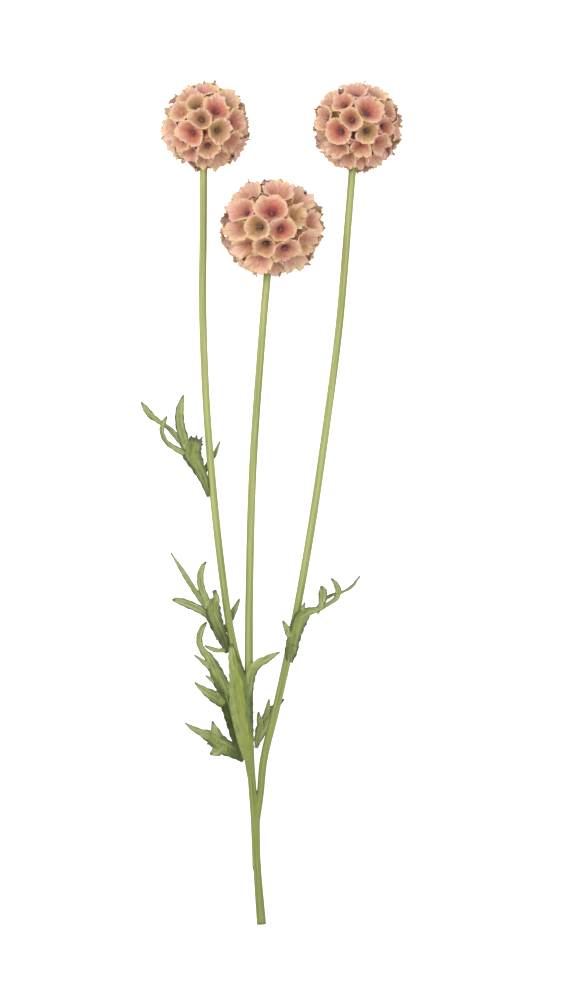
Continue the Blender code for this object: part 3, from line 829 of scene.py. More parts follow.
# Painted light for the sides of the ball.
PAINTED_SIDE_LIGHT = srgb(232, 204, 194)
PALE_SPECK = srgb(240, 214, 200)
LINE_BROWN = srgb(142, 84, 50)
DRY_TAN = srgb(184, 134, 86)
# Painted shade for hollows and for walls pressed under another cup.
PAINTED_CREVICE_SHADE = srgb(168, 94, 46)
LINES_ROUND = 7.5
PAINTED_GLOW_THROUGH = 0.035


def papery(name, rosy_stops, olive_stops, stain_and_shade):
    """The finish of one side of a cup. stain_and_shade says how brown its dry blotches are and how strong
    the painted shade in its hollows is.
    """
    finish = Finish(name, {"Specular IOR Level": 0.2, "Sheen Weight": 0.15,
                           "Sheen Roughness": 0.5, "Emission Strength": PAINTED_GLOW_THROUGH})
    across, up, tint = finish.parts(finish.attribute("spoke", "Vector"))
    out = (across * across + up * up) ** 0.5
    bearing = {0: across / out * LINES_ROUND, 1: up / out * LINES_ROUND, 2: out * 1.2 + tint * 60.0}
    line = finish.mottle(finish.node("ShaderNodeCombineXYZ", {}, bearing), 1.0, 3.0)
    cloud = finish.mottle(finish.place(), 95.0, 2.0, roughness=0.5)
    crumple = finish.mottle(finish.place(), 380.0, 3.0)
    fine = finish.mottle(finish.place(), 1700.0, 4.0)
    from_floor = out + (crumple - 0.5) * 0.22 + (line - 0.5) * 0.2
    rosy = finish.step(tint + (cloud - 0.5) * 0.9, 0.2, 0.8)
    finish.colour = finish.mix(rosy, finish.ramp(from_floor, olive_stops),
                               finish.ramp(from_floor, rosy_stops))
    # Painted light: the sides of the ball are paler.
    finish.coat(finish.attribute("pale") * finish.step(out, 0.2, 0.6) * 0.45, PAINTED_SIDE_LIGHT)
    tan = finish.step(crumple + cloud * 0.5, 0.7, 0.88) * finish.step(out, 0.4, 0.7)
    finish.coat(tan * 0.65 * stain_and_shade, DRY_TAN)
    # Painted light: what stands proud is paler. Painted shade: what is sunk or pressed under another cup
    # is browner.
    rise = finish.attribute("rise") + (crumple - 0.5) * 0.06
    finish.coat(finish.step(rise, 0.005, 0.07) * 0.45, PALE_PINK)
    finish.coat(finish.step(rise, 0.005, -0.075) * 0.9 * stain_and_shade, PAINTED_CREVICE_SHADE)
    rim_colour = finish.mix(finish.step(cloud, 0.42, 0.62), PALE_CREAM, PALE_PINK)
    finish.coat(finish.step(out + (fine - 0.5) * 0.12, 0.76, 1.0) * 0.75, rim_colour)
    finish.coat(finish.step(line, 0.5, 0.68) * finish.step(out, 0.2, 0.4) * 0.36, LINE_BROWN)
    finish.coat(finish.step(fine, 0.56, 0.8) * 0.3, PALE_SPECK)
    # A painted glow, standing for the light that comes through the walls.
    finish.painted_glow()
    height = line * out * 1.5 + crumple * 1.6 + fine * 0.5
    return finish.finish_with(0.7 + fine * 0.2, height, 0.5 * MM)


cup_inside = papery("cup_inside", [
    (0.0, srgb(92, 52, 48)), (0.26, srgb(116, 62, 56)), (0.44, srgb(164, 82, 78)),
    (0.6, srgb(194, 107, 94)), (0.8, srgb(208, 140, 118)), (1.0, srgb(215, 165, 141)),
], [
    (0.0, srgb(88, 62, 48)), (0.26, srgb(110, 89, 58)), (0.44, srgb(138, 115, 75)),
    (0.62, srgb(171, 136, 92)), (0.84, srgb(198, 152, 114)), (1.0, srgb(212, 170, 136)),
], stain_and_shade=1.0)
cup_outside = papery("cup_outside", [
    (0.0, srgb(222, 190, 156)), (0.35, srgb(234, 202, 176)), (0.6, srgb(240, 212, 194)),
    (0.9, srgb(242, 218, 206)),
], [
    (0.0, srgb(214, 188, 142)), (0.35, srgb(226, 198, 158)), (0.6, srgb(234, 208, 176)),
    (0.9, srgb(240, 216, 190)),
], stain_and_shade=0.4)
print("cup finishes:", cup_inside.name, cup_outside.name)

# %% [markdown]
# ## Small parts' finishes
# Knobs, grains, tips and the core under the cups are seen only as specks and dark gaps. A grain
# between two colours is enough for them. The core gets a little painted glow, which stands for the
# light that falls through the cups and warms what lies under them.

# %% Grained finishes
def grained(name, dark, light, scale, depth, roughness, painted_glow=0.0):
    finish = Finish(name, {"Specular IOR Level": 0.3, "Emission Strength": painted_glow})
    grain = finish.mottle(finish.place(), scale, 5.0)
    finish.colour = finish.mix(finish.step(grain, 0.35, 0.65), dark, light)
    finish.painted_glow()
    return finish.finish_with(roughness + grain * 0.2, grain, depth)


head_finishes = {
    "cups": [cup_inside, cup_outside, cup_outside],
    "stars": [grained("star", srgb(84, 54, 60), srgb(132, 94, 98), 1200.0, 0.1 * MM, 0.5)],
    "grains": [grained("grain", srgb(148, 118, 122), srgb(192, 168, 160), 900.0, 0.05 * MM, 0.6)],
    "tips": [grained("dry_tip", srgb(134, 126, 98), srgb(186, 174, 142), 700.0, 0.1 * MM, 0.75)],
    "core": [grained("head_core", srgb(180, 118, 66), srgb(212, 160, 104), 320.0, 1.2 * MM, 0.8,
                     painted_glow=0.3)],
}
print("finishes of a head:", {kind: len(finishes) for kind, finishes in head_finishes.items()})

# %% [markdown]
# ## Growing the cups
# A head's cups go into one shape. Each bends a copy of the disc, under the cups that rank higher
# and lie near it. An open one shows its star, a crumpled one hides it, and the ones round the sides
# carry a dry tip. The ruffles follow, under all the cups.

# %% Growing cups and ruffles
COVER_RANGE = 0.9
OPEN_TONE = 0.6
TONE_CURVE = 1.5
CLOSED = 0.6
UPWARD = 0.55
STAR_LEVEL = 0.8
RUFFLE_REACH = (0.13, 0.2)
RUFFLE_DIP = (0.02, 0.08)
RUFFLE_TONES = (0.4, 0.9)
RUFFLE_CRUMPLED = 0.7


def add_disc(shape, disc):
    """Puts a copy of a flat disc in the shape and gives back its vertices."""
    before = len(shape.verts)
    shape.from_mesh(disc)
    shape.verts.ensure_lookup_table()
    return shape.verts[before:]


def grow_cups(name, shapes, notes):
    centre, radius = head_centre(name), head_radius(name)
    _, _, rank, looks, draw = plans[name]
    for index, cup in surfaces[name].items():
        axis, (tint, crumpled) = cup.axis, looks[index]
        covers = [other for key, other in surfaces[name].items()
                  if rank[key] < rank[index] and axis.angle(other.axis) < COVER_RANGE]
        verts = add_disc(shapes["cups"], cup_disc)
        look = (tint, (OPEN_TONE * crumpled**TONE_CURVE, 1.0))
        bend_cup(verts, notes, cup, covers, (centre, radius), look)
        if crumpled < CLOSED:
            place = centre + axis * radius * STAR_LEVEL
            add_star(shapes["stars"], shapes["grains"], place, axis, radius, draw)
        if axis.z < UPWARD:
            rim_places = [vert.co for vert in verts[-SPOKES:]]
            add_tips(shapes["tips"], rim_places, centre, axis, radius, draw)


def grow_ruffles(name, shape, notes):
    centre, radius = head_centre(name), head_radius(name)
    directions, *_, draw = plans[name]
    for axis in gaps[name]:
        if axis.angle(directions[0]) < STEM_CLEARING + RUFFLE_REACH[1]:
            continue
        reach, dip = draw.uniform(*RUFFLE_REACH), draw.uniform(*RUFFLE_DIP)
        rim = (np.full(SPOKES, reach), np.full(SPOKES, -dip))
        ruffle = Cup(axis, rim, RUFFLE_CRUMPLED, draw)
        covers = [cup for cup in surfaces[name].values() if axis.angle(cup.axis) < COVER_RANGE]
        look = (draw.random(), RUFFLE_TONES)
        bend_cup(add_disc(shape, ruffle_disc), notes, ruffle, covers, (centre, radius), look)


# %% [markdown]
# ## Building the heads
# The cups of a head share one mesh, which a Solidify modifier gives its thickness: it leaves the
# inside's finish on the side that faces out, and puts the next ones on the back and along the cut
# edge. A ball under them is the core that they grow from.

# %% Heads
CUP_THICKNESS = 0.3 * MM
CORE_SHARE = 0.785


def make_head(name):
    shapes = {kind: bmesh.new() for kind in head_finishes}
    layers = shapes["cups"].verts.layers
    layers.float_vector.new("spoke")
    layers.float.new("rise")
    layers.float.new("pale")
    notes = layers.float_vector["spoke"], layers.float["rise"], layers.float["pale"]
    grow_cups(name, shapes, notes)
    grow_ruffles(name, shapes["cups"], notes)
    middle = Matrix.Translation(head_centre(name))
    bmesh.ops.create_icosphere(shapes["core"], subdivisions=4, matrix=middle,
                               radius=CORE_SHARE * head_radius(name))
    stretch = middle @ Matrix.Diagonal((*HEADS[name]["stretch"], 1.0, 1.0)) @ middle.inverted()
    pieces = {}
    for kind, shape in shapes.items():
        label = kind + "_" + name
        bmesh.ops.transform(shape, matrix=stretch, verts=shape.verts)
        mesh = to_mesh(shape, label)
        pieces[kind] = add_piece(label, mesh, head_finishes[kind], "head_" + name)
    wall = pieces["cups"].modifiers.new("thickness", "SOLIDIFY")
    wall.thickness = CUP_THICKNESS
    wall.offset = -1.0
    wall.material_offset = 1
    wall.material_offset_rim = 1
    return pieces["cups"]


for name in HEADS:
    made = make_head(name)
    print(made.name, len(made.data.vertices), "vertices before thickness")

# %% [markdown]
# ## Following a route
# The stem's streaks and a leaf's veins run along the plant, so each vertex has to know where it
# lies along its own route and how far to the side. A route is cut into stations, each with a run,
# a sideways axis and an upward axis, and a vertex belongs to the station that it lies deepest in.

# %% Stations along a route
def unit_rows(rows):
    return rows / np.linalg.norm(rows, axis=1)[:, None]


def stations_of(route, spacing):
    """A route's samples: their places, half widths, runs along it, and side and upward axes."""
    samples = smooth_route(route, spacing)
    places = samples[:, :3]
    ahead = unit_rows(np.gradient(places, axis=0))
    side = unit_rows(np.cross(ahead, (0, 0, 1)))
    if samples.shape[1] > 4:
        roll = np.radians(samples[:, 4:5])
        side = side * np.cos(roll) + np.cross(ahead, side) * np.sin(roll)
    steps = np.linalg.norm(np.diff(places, axis=0), axis=1)
    return {"place": places, "half": samples[:, 3], "side": side, "up": np.cross(side, ahead),
            "run": np.concatenate([[0.0], np.cumsum(steps)])}


def find_stations(mesh, stations):
    """For each vertex: its station, and its offsets sideways and upwards as shares of half width."""
    places = np.array([vert.co for vert in mesh.vertices])
    apart = np.linalg.norm(places[:, None] - stations["place"][None], axis=2)
    nearest = (apart - stations["half"]).argmin(axis=1)
    offset = (places - stations["place"][nearest]) / stations["half"][nearest][:, None]
    sideways = (offset * stations["side"][nearest]).sum(axis=1)
    upwards = (offset * stations["up"][nearest]).sum(axis=1)
    return nearest, sideways, upwards


def together(parts):
    """The stations of several routes in one set."""
    return {key: np.concatenate([part[key] for part in parts]) for key in parts[0]}


def write_attribute(mesh, name, values):
    kind = "FLOAT" if values.ndim == 1 else "FLOAT_VECTOR"
    field = "value" if values.ndim == 1 else "vector"
    layer = mesh.attributes.new(name, kind, "POINT")
    layer.data.foreach_set(field, values.astype(np.float32).ravel())


# %% [markdown]
# ## Stalks
# Each branch is a tube whose thickness changes along its route: a circle laid across the route at
# its foot, with its edge extruded from station to station. Shallow ribs run up it. The stalks go on
# into the heads, and the lowest end of each is closed with a narrow rim round a shallow dent, as a
# knife leaves it.

# %% Stalks
SOCKET_DEPTH_SHARE = 0.45
STALK_SIDES = 36
STALK_SPACING = 3 * MM
RIBS = 7
RIB_DEPTH = 0.03
CUT_RIM = 0.5 * MM
CUT_DEPTH = 0.12 * MM


def full_route(name):
    """A branch's route, led on into its head."""
    route = branch_route(name)
    inside = head_centre(name) + stem_direction(name) * SOCKET_DEPTH_SHARE * head_radius(name)
    return [*route, (*inside, route[-1][3])]


def laid_across(samples, index):
    """The matrix that lays a circle across a route at one of its samples, at its radius there."""
    before, after = samples[max(index - 1, 0)], samples[min(index + 1, len(samples) - 1)]
    turn = Vector(after[:3] - before[:3]).to_track_quat("Z", "Y").to_matrix().to_4x4()
    *place, radius = samples[index]
    return Matrix.Translation(place) @ turn @ Matrix.Diagonal((radius, radius, 1.0, 1.0))


def make_stalk(name):
    samples = smooth_route(full_route(name), STALK_SPACING)
    shape = bmesh.new()
    bmesh.ops.create_circle(shape, segments=STALK_SIDES, radius=1.0)
    for vert in shape.verts:
        vert.co *= 1 + RIB_DEPTH * math.cos(RIBS * math.atan2(vert.co.y, vert.co.x))
    edges = shape.edges[:]
    stand = laid_across(samples, 0)
    bmesh.ops.transform(shape, matrix=stand, verts=shape.verts)
    for index in range(1, len(samples)):
        grown = bmesh.ops.extrude_edge_only(shape, edges=edges)["geom"]
        edges = [edge for edge in only(bmesh.types.BMEdge, grown) if edge.is_boundary]
        step = laid_across(samples, index) @ stand.inverted()
        bmesh.ops.transform(shape, matrix=step, verts=only(bmesh.types.BMVert, grown))
        stand = laid_across(samples, index)
    bmesh.ops.holes_fill(shape, edges=shape.edges)
    bmesh.ops.recalc_face_normals(shape, faces=shape.faces)
    ends = [face for face in shape.faces if len(face.verts) == STALK_SIDES]
    cut = min(ends, key=lambda face: face.calc_center_median().y)
    bmesh.ops.inset_region(shape, faces=[cut], thickness=CUT_RIM, depth=-CUT_DEPTH)
    return to_mesh(shape, "stalk_" + name)


stalks = [put_in_scene("stalk_" + name, make_stalk(name)) for name in BRANCH_ROUTES]
print("stalks:", {stalk.name: len(stalk.data.vertices) for stalk in stalks})

# %% [markdown]
# ## One skin for the stem
# The branches start inside the main shoot, so a Boolean union makes one skin of the three. It
# leaves a sharp crease where they meet, which a living stem never has, so the vertices that lie at
# the surface of two branches at once are smoothed. The stalks' own objects are only there to hold
# the modifiers, until the mesh that these make is taken from them.

# %% The stem's skin
CREASE = 1.3
CREASE_ROUNDS = 5


def baked(holder):
    """The mesh that an object's modifiers make, in place of the object."""
    bpy.context.view_layer.update()
    graph = bpy.context.evaluated_depsgraph_get()
    mesh = bpy.data.meshes.new_from_object(holder.evaluated_get(graph))
    bpy.data.objects.remove(holder)
    return mesh


def joined(stalks):
    trunk, *branches = stalks
    for branch in branches:
        union = trunk.modifiers.new("union", "BOOLEAN")
        union.operation = "UNION"
        union.object = branch
    mesh = baked(trunk)
    for branch in branches:
        bpy.data.objects.remove(branch)
    return mesh


def in_crease(places, parts):
    """Which places lie at the surface of two branches at once."""
    depths = []
    for part in parts:
        apart = np.linalg.norm(places[:, None] - part["place"][None], axis=2)
        depths.append((apart / part["half"]).min(axis=1))
    return np.sort(depths, axis=0)[1] < CREASE


def round_creases(mesh, parts):
    shape = bmesh.new()
    shape.from_mesh(mesh)
    places = np.array([vert.co for vert in shape.verts])
    crease = [vert for vert, found in zip(shape.verts, in_crease(places, parts)) if found]
    for _ in range(CREASE_ROUNDS):
        bmesh.ops.smooth_vert(shape, verts=crease, factor=0.5, use_axis_x=True, use_axis_y=True,
                              use_axis_z=True)
    for vert in shape.verts:
        vert.co.z = max(vert.co.z, 0.0)
    shape.to_mesh(mesh)
    shape.free()
    return len(crease)


stem_mesh = joined(stalks)
stem_parts = [stations_of(full_route(name), MM) for name in BRANCH_ROUTES]
print("stem: vertices smoothed in its creases:", round_creases(stem_mesh, stem_parts))
stem_stations = together(stem_parts)
nearest, sideways, upwards = find_stations(stem_mesh, stem_stations)
run = stem_stations["run"][nearest]
write_attribute(stem_mesh, "grain", np.stack([sideways, upwards, run], axis=1))

# %% [markdown]
# ## The stem's finish
# The skin is a satin yellow green, paler towards the heads, with painted shade along its flanks and
# fine streaks. The streaks are a noise read on the bearing and the run, which are stretched so that
# it draws out lengthways. Each green is a pair: the one near the cut end and the one near the heads.

# %% Green skin
PALE_SKIN = (srgb(142, 152, 78), srgb(172, 178, 110))
DEEP_SKIN = (srgb(104, 115, 50), srgb(138, 146, 80))
# Painted shade for the flanks.
FLANK_SHADE_SKIN = (srgb(84, 94, 42), srgb(120, 126, 72))
SKIN_SPECK = srgb(204, 204, 150)
UPPER_PART = (-0.2, 0.06)


def make_stem_finish():
    finish = Finish("stem_skin", {"Subsurface Weight": 0.1, "Subsurface Scale": 0.001,
                                  "Specular IOR Level": 0.4})
    grain = finish.attribute("grain", "Vector")
    streak = finish.mottle(finish.stretched(grain, (1.6, 1.6, 14.0)), 1.5, 4.0)
    fine = finish.mottle(finish.stretched(grain, (4.0, 4.0, 60.0)), 2.0, 3.0)
    upper = finish.step(finish.part(finish.place(), 1), *UPPER_PART)
    finish.colour = finish.mix(finish.step(streak, 0.35, 0.68), finish.mix(upper, *PALE_SKIN),
                               finish.mix(upper, *DEEP_SKIN))
    finish.coat(finish.step(fine, 0.6, 0.8) * 0.35, SKIN_SPECK)
    # Painted shade: darker towards both flanks, as seen from above.
    shaded_flank = finish.step(finish.size_of(finish.part(grain, 0) + (streak - 0.5) * 0.4), 0.4, 0.95)
    finish.coat(shaded_flank * 0.55, finish.mix(upper, *FLANK_SHADE_SKIN))
    return finish.finish_with(0.45 + fine * 0.2, streak + fine * 0.5, 0.12 * MM)


stem_piece = add_piece("green_stem", stem_mesh, [make_stem_finish()], "stem")
print("stem:", len(stem_piece.data.polygons), "faces")

# %% [markdown]
# ## The leaves' plan
# A leaf is a few fingers that grow together, the blade first. Each finger is a route of listed
# points: a place, half the finger's width there and, where it turns about its own length, a roll.
# They follow the plain solids' own points, so that the fine leaves stay where the solids are. Some
# roots lie a little deeper or wider than theirs, and one blade ends in four small teeth.

# %% Fingers, in millimetres and degrees
LEAVES = {
    "leaf_upper": [
        [(-37.1, 4.2, 14.6, 1.2), (-40.1, 14.2, 15.8, 2.7), (-43.9, 22.6, 17.0, 4.2),
         (-47.2, 29.8, 18.2, 5.6), (-46.0, 34.8, 19.4, 4.7), (-44.6, 38.9, 20.4, 4.0)],
        [(-50.2, 33.2, 18.8, 2.4), (-52.2, 39.2, 20.2, 3.0), (-54.0, 45.7, 21.6, 2.8),
         (-54.6, 53.4, 22.3, 2.6), (-53.7, 59.4, 21.6, 1.8), (-52.2, 65.0, 20.3, 0.3)],
        [(-50.2, 32.0, 18.0, 1.5), (-56.7, 40.4, 16.4, 1.7), (-62.3, 46.0, 15.0, 1.4, 35),
         (-67.4, 49.3, 14.2, 1.4), (-72.1, 53.1, 13.2, 2.0), (-75.4, 57.6, 11.8, 1.5),
         (-77.5, 60.8, 10.5, 0.3)],
        [(-50.7, 29.7, 17.6, 1.8), (-58.5, 33.8, 17.4, 1.5), (-62.6, 37.1, 18.0, 1.5, 25),
         (-64.8, 41.5, 19.0, 1.4, 25), (-64.8, 45.7, 20.2, 1.4), (-63.5, 49.3, 20.6, 1.2),
         (-62.0, 52.2, 19.4, 0.3)],
        [(-40.7, 17.8, 15.6, 1.4), (-37.7, 23.7, 12.4, 1.4), (-33.8, 29.7, 12.2, 1.3),
         (-30.6, 37.4, 13.5, 0.3)],
        [(-47.2, 37.8, 20.2, 0.8), (-47.6, 40.5, 20.8, 0.3)],
        [(-44.8, 38.2, 20.4, 0.8), (-44.3, 41.0, 20.9, 0.3)],
        [(-42.5, 37.4, 20.2, 0.8), (-40.9, 40.0, 20.7, 0.3)],
        [(-42.6, 34.2, 19.4, 0.7), (-40.4, 35.8, 19.6, 0.3)],
    ],
    "leaf_second": [
        [(-25.8, -88.4, 10.6, 1.6), (-28.4, -81.0, 11.6, 3.0), (-31.7, -73.6, 13.0, 3.9),
         (-34.4, -65.9, 14.4, 4.6), (-34.5, -59.9, 15.4, 4.2), (-32.9, -55.8, 16.0, 2.0),
         (-34.1, -51.0, 16.0, 1.1)],
        [(-36.5, -61.1, 15.8, 2.0), (-40.1, -54.0, 17.2, 2.1), (-42.1, -46.9, 18.6, 2.0),
         (-42.0, -41.0, 19.0, 1.8), (-40.7, -36.8, 18.4, 1.3), (-38.6, -34.1, 17.4, 0.4)],
        [(-37.1, -62.9, 15.4, 1.8), (-41.8, -56.7, 15.0, 1.7), (-46.6, -49.9, 14.7, 1.5),
         (-51.3, -42.4, 14.3, 1.5), (-54.6, -37.1, 13.4, 1.1), (-59.9, -28.8, 11.0, 0.3)],
        [(-34.7, -68.3, 14.0, 2.1), (-40.7, -63.8, 13.4, 2.2), (-46.3, -60.8, 13.3, 2.4),
         (-51.9, -58.5, 12.4, 2.3), (-56.1, -57.2, 11.0, 1.7), (-59.1, -56.9, 9.8, 0.4)],
        [(-31.2, -78.9, 11.6, 1.4), (-26.7, -73.0, 7.2, 1.7), (-23.1, -65.0, 7.4, 1.8),
         (-20.8, -60.2, 8.2, 1.3), (-19.0, -56.1, 9.0, 0.3)],
        [(-27.6, -86.7, 10.8, 1.1), (-32.3, -86.9, 13.2, 1.2), (-35.9, -85.8, 14.0, 1.2),
         (-39.8, -84.0, 14.2, 0.3)],
    ],
    "leaf_long": [
        [(-16.6, -151.9, 8.6, 1.2), (-20.8, -140.1, 8.9, 2.8), (-23.4, -128.8, 9.4, 3.9),
         (-25.5, -119.9, 9.9, 4.5), (-27.9, -111.0, 10.3, 4.5), (-30.6, -105.0, 10.9, 4.3),
         (-33.8, -97.9, 11.2, 3.8), (-37.1, -91.4, 11.0, 2.7), (-41.0, -86.9, 10.4, 1.9),
         (-42.9, -81.9, 9.8, 1.8), (-42.3, -76.6, 9.0, 1.8), (-40.7, -73.0, 8.4, 1.4),
         (-38.6, -70.0, 8.0, 0.4)],
        [(-34.1, -99.7, 11.4, 1.4), (-38.6, -95.3, 12.2, 1.5), (-42.1, -92.5, 13.2, 1.0),
         (-46.0, -89.5, 14.0, 0.3)],
        [(-34.1, -105.6, 10.9, 1.3), (-39.3, -101.7, 11.6, 0.3)],
        [(-28.2, -117.5, 10.2, 3.6), (-33.8, -114.5, 10.3, 3.6), (-38.9, -111.3, 9.8, 2.4),
         (-42.7, -108.6, 9.0, 1.4), (-45.8, -105.8, 8.2, 0.3)],
    ],
    "leaf_low": [
        [(-16.6, -152.5, 5.8, 1.3), (-22.8, -147.5, 5.6, 3.7), (-29.6, -143.2, 5.6, 5.1),
         (-35.3, -138.9, 5.4, 4.2), (-41.8, -135.9, 4.8, 2.2), (-46.6, -133.5, 4.0, 1.5),
         (-51.6, -130.2, 3.2, 0.3)],
        [(-31.6, -140.0, 5.8, 3.4), (-33.6, -134.4, 6.2, 2.4), (-35.3, -128.7, 6.8, 0.3)],
        [(-34.1, -141.3, 5.4, 1.5), (-38.7, -142.8, 4.5, 0.3)],
        [(-28.2, -144.4, 5.6, 3.2), (-32.3, -146.7, 4.6, 3.1), (-36.7, -148.9, 3.8, 0.7)],
    ],
    "leaf_fork": [
        [(-13.4, -153.1, 8.6, 1.9), (-14.7, -143.0, 11.5, 4.3), (-16.6, -131.2, 12.3, 5.7),
         (-17.8, -119.3, 13.1, 6.6), (-18.8, -109.2, 13.5, 6.6), (-20.8, -99.1, 13.6, 4.6),
         (-22.8, -91.4, 13.4, 3.0), (-24.3, -83.1, 13.2, 0.9)],
        [(-14.5, -117.5, 13.1, 2.7), (-13.4, -108.0, 14.0, 2.9), (-12.0, -100.3, 14.5, 3.1),
         (-8.6, -95.3, 14.8, 2.7), (-3.3, -92.2, 14.9, 2.3), (0.9, -89.9, 14.8, 1.5),
         (5.0, -87.8, 14.5, 0.3)],
    ],
    "leaf_toothed": [
        [(-9.2, -145.1, 6.6, 0.9), (-7.7, -138.9, 5.2, 2.5), (-5.3, -132.9, 4.4, 3.9),
         (-2.7, -127.6, 4.0, 3.3), (0.0, -122.9, 4.0, 2.3), (3.9, -119.3, 4.4, 1.5),
         (7.4, -115.9, 5.4, 0.4)],
        [(-6.2, -132.4, 4.4, 1.7), (-7.4, -127.9, 4.8, 1.5), (-7.8, -123.4, 5.4, 0.3)],
        [(-3.0, -127.0, 4.0, 1.8), (-2.3, -122.0, 4.4, 1.6), (-1.5, -115.9, 5.2, 0.3)],
    ],
    "leaf_right": [
        [(10.9, -94.2, 11.2, 1.5), (11.5, -88.0, 13.6, 3.7), (12.9, -80.9, 14.6, 3.9),
         (14.7, -74.2, 15.2, 4.3), (17.6, -67.7, 15.9, 4.4), (22.1, -63.8, 16.6, 2.5),
         (27.6, -62.3, 17.4, 1.6, 15), (32.9, -59.6, 18.0, 1.4, 30), (37.4, -56.7, 18.6, 1.5, 25),
         (39.6, -52.2, 19.4, 1.8), (38.3, -47.8, 19.8, 1.5), (35.3, -43.9, 19.4, 0.4)],
        [(28.2, -62.9, 17.4, 1.2), (29.6, -59.1, 18.8, 1.8), (30.4, -55.2, 20.0, 2.6),
         (30.3, -51.3, 20.4, 2.3), (29.4, -48.5, 20.0, 0.6)],
        [(27.0, -62.6, 17.2, 1.2), (31.2, -57.0, 15.8, 1.5, 55), (35.3, -54.0, 15.2, 1.5, 60),
         (40.1, -52.8, 15.0, 1.4, 60), (44.5, -51.0, 14.6, 1.4, 60), (48.7, -47.7, 14.0, 1.2, 50),
         (52.5, -42.7, 13.0, 0.4, 30)],
        [(13.4, -81.9, 14.4, 2.1), (10.6, -77.2, 15.0, 2.1), (8.6, -73.0, 14.9, 1.7),
         (6.5, -69.1, 14.2, 0.4)],
        [(18.4, -65.3, 16.0, 1.4), (18.5, -62.0, 16.6, 1.2), (19.8, -58.3, 17.2, 0.3)],
    ],
}
print("fingers:", {name: len(fingers) for name, fingers in LEAVES.items()})

# %% [markdown]
# ## Where fingers meet the blade
# A finger that only touched the blade's edge would look glued on. Its route is led back to a point
# inside the blade, and laid in the blade's own folded sheet for as long as it is over it.

# %% Rooting the fingers
FOLD = 0.25
FOLDS = {"leaf_fork": -0.12}
POINT_WIDTH = 0.3 * MM
ROOT_LENGTH = 2.5 * MM


def in_metres(route):
    return [(x * MM, y * MM, z * MM, half * MM, *(roll or [0])) for x, y, z, half, *roll in route]


def rooted(route, blade, fold):
    (x0, y0, *_), (x1, y1, *_) = route[:2]
    back = ROOT_LENGTH / math.dist((x0, y0), (x1, y1))
    root = (x0 + (x0 - x1) * back, y0 + (y0 - y1) * back, route[0][2], POINT_WIDTH, 0)
    laid = []
    for x, y, z, half, roll in (root, *route):
        nearest = min(blade, key=lambda s: math.dist(s[:2], (x, y)))
        share = math.dist(nearest[:2], (x, y)) / nearest[3]
        if share < 1:
            z = nearest[2] + fold * nearest[3] * (2 * share - 1)
        laid.append((x, y, z, half, roll))
    return laid


def finger_parts(name):
    """The stations of a leaf's blade and of its rooted fingers."""
    blade, *others = map(in_metres, LEAVES[name])
    fold = FOLDS.get(name, FOLD)
    blade_samples = smooth_route(blade, MM)
    fingers = [blade, *(rooted(route, blade_samples, fold) for route in others)]
    return [stations_of(route, MM) for route in fingers]


leaf_parts = {name: finger_parts(name) for name in LEAVES}
print("longest fingers, mm:", {name: round(max(part["run"][-1] for part in parts) / MM)
                               for name, parts in leaf_parts.items()})

# %% [markdown]
# ## A finger's sheet
# A finger starts as a flat grid, which is bent along its route: up at the edges, sunk at the midrib
# and waved a little, with an edge that is never quite even.

# %% Bending a finger
LEAF_COLUMNS = 10
FOLD_CURVE = 1.5
MIDRIB_WIDTH = 0.16
MIDRIB_DEPTH = 0.22 * MM
FULL_MIDRIB_HALF = 2 * MM
EDGE_WAVE = 0.14
EDGE_WAVE_LENGTH = 9 * MM
UNEVEN_EDGE = 0.06
COARSE_STEPS = 1.7
FINE_STEPS = 4.1
FINE_STEP_SHARE = 0.6


def add_finger(shape, stations, fold, draw):
    last = len(stations["run"]) - 1
    grid = bmesh.ops.create_grid(shape, x_segments=LEAF_COLUMNS, y_segments=last, size=1.0)
    phases = [draw.uniform(0, math.tau) for _ in range(4)]
    for vert in grid["verts"]:
        across = vert.co.x
        row = round((vert.co.y + 1) / 2 * last)
        half = max(stations["half"][row], POINT_WIDTH)
        turn = math.tau * stations["run"][row] / EDGE_WAVE_LENGTH
        sidedness = 0 if across < 0 else 1
        uneven = math.sin(COARSE_STEPS * turn + phases[sidedness])
        uneven += FINE_STEP_SHARE * math.sin(FINE_STEPS * turn + phases[1])
        wave = math.sin(turn + phases[2 + sidedness]) * across**2 * EDGE_WAVE
        raised = fold * (2 * abs(across) ** FOLD_CURVE - 1) + wave
        sunk = MIDRIB_DEPTH * math.exp(-((across / MIDRIB_WIDTH) ** 2))
        sunk *= min(1.0, half / FULL_MIDRIB_HALF)
        aside = across * half * (1 + UNEVEN_EDGE * uneven)
        place = stations["place"][row] + stations["side"][row] * aside
        vert.co = place + stations["up"][row] * (half * raised - sunk)


# %% [markdown]
# ## Melting the fingers together
# The sheets of a leaf get their thickness together. They still cut through each other at the roots,
# so a voxel remesh melts them into one skin, and a little smoothing softens its edges.

# %% Leaf meshes
LEAF_SEED = 31
LEAF_THICKNESS = 0.72 * MM
LEAF_VOXEL = 0.26 * MM
LEAF_SMOOTHING = 4


def make_leaf(name, draw):
    shape = bmesh.new()
    for part in leaf_parts[name]:
        add_finger(shape, part, FOLDS.get(name, FOLD), draw)
    holder = put_in_scene(name + "_sheets", to_mesh(shape, name + "_sheets"))
    wall = holder.modifiers.new("thickness", "SOLIDIFY")
    wall.thickness = LEAF_THICKNESS
    wall.offset = 0.0
    melt = holder.modifiers.new("melt", "REMESH")
    melt.mode = "VOXEL"
    melt.voxel_size = LEAF_VOXEL
    soften = holder.modifiers.new("soften", "SMOOTH")
    soften.factor = 0.5
    soften.iterations = LEAF_SMOOTHING
    return baked(holder)


leaf_draw = random.Random(LEAF_SEED)
leaf_meshes = {name: make_leaf(name, leaf_draw) for name in LEAVES}
print("leaf vertices:", {name: len(mesh.vertices) for name, mesh in leaf_meshes.items()})

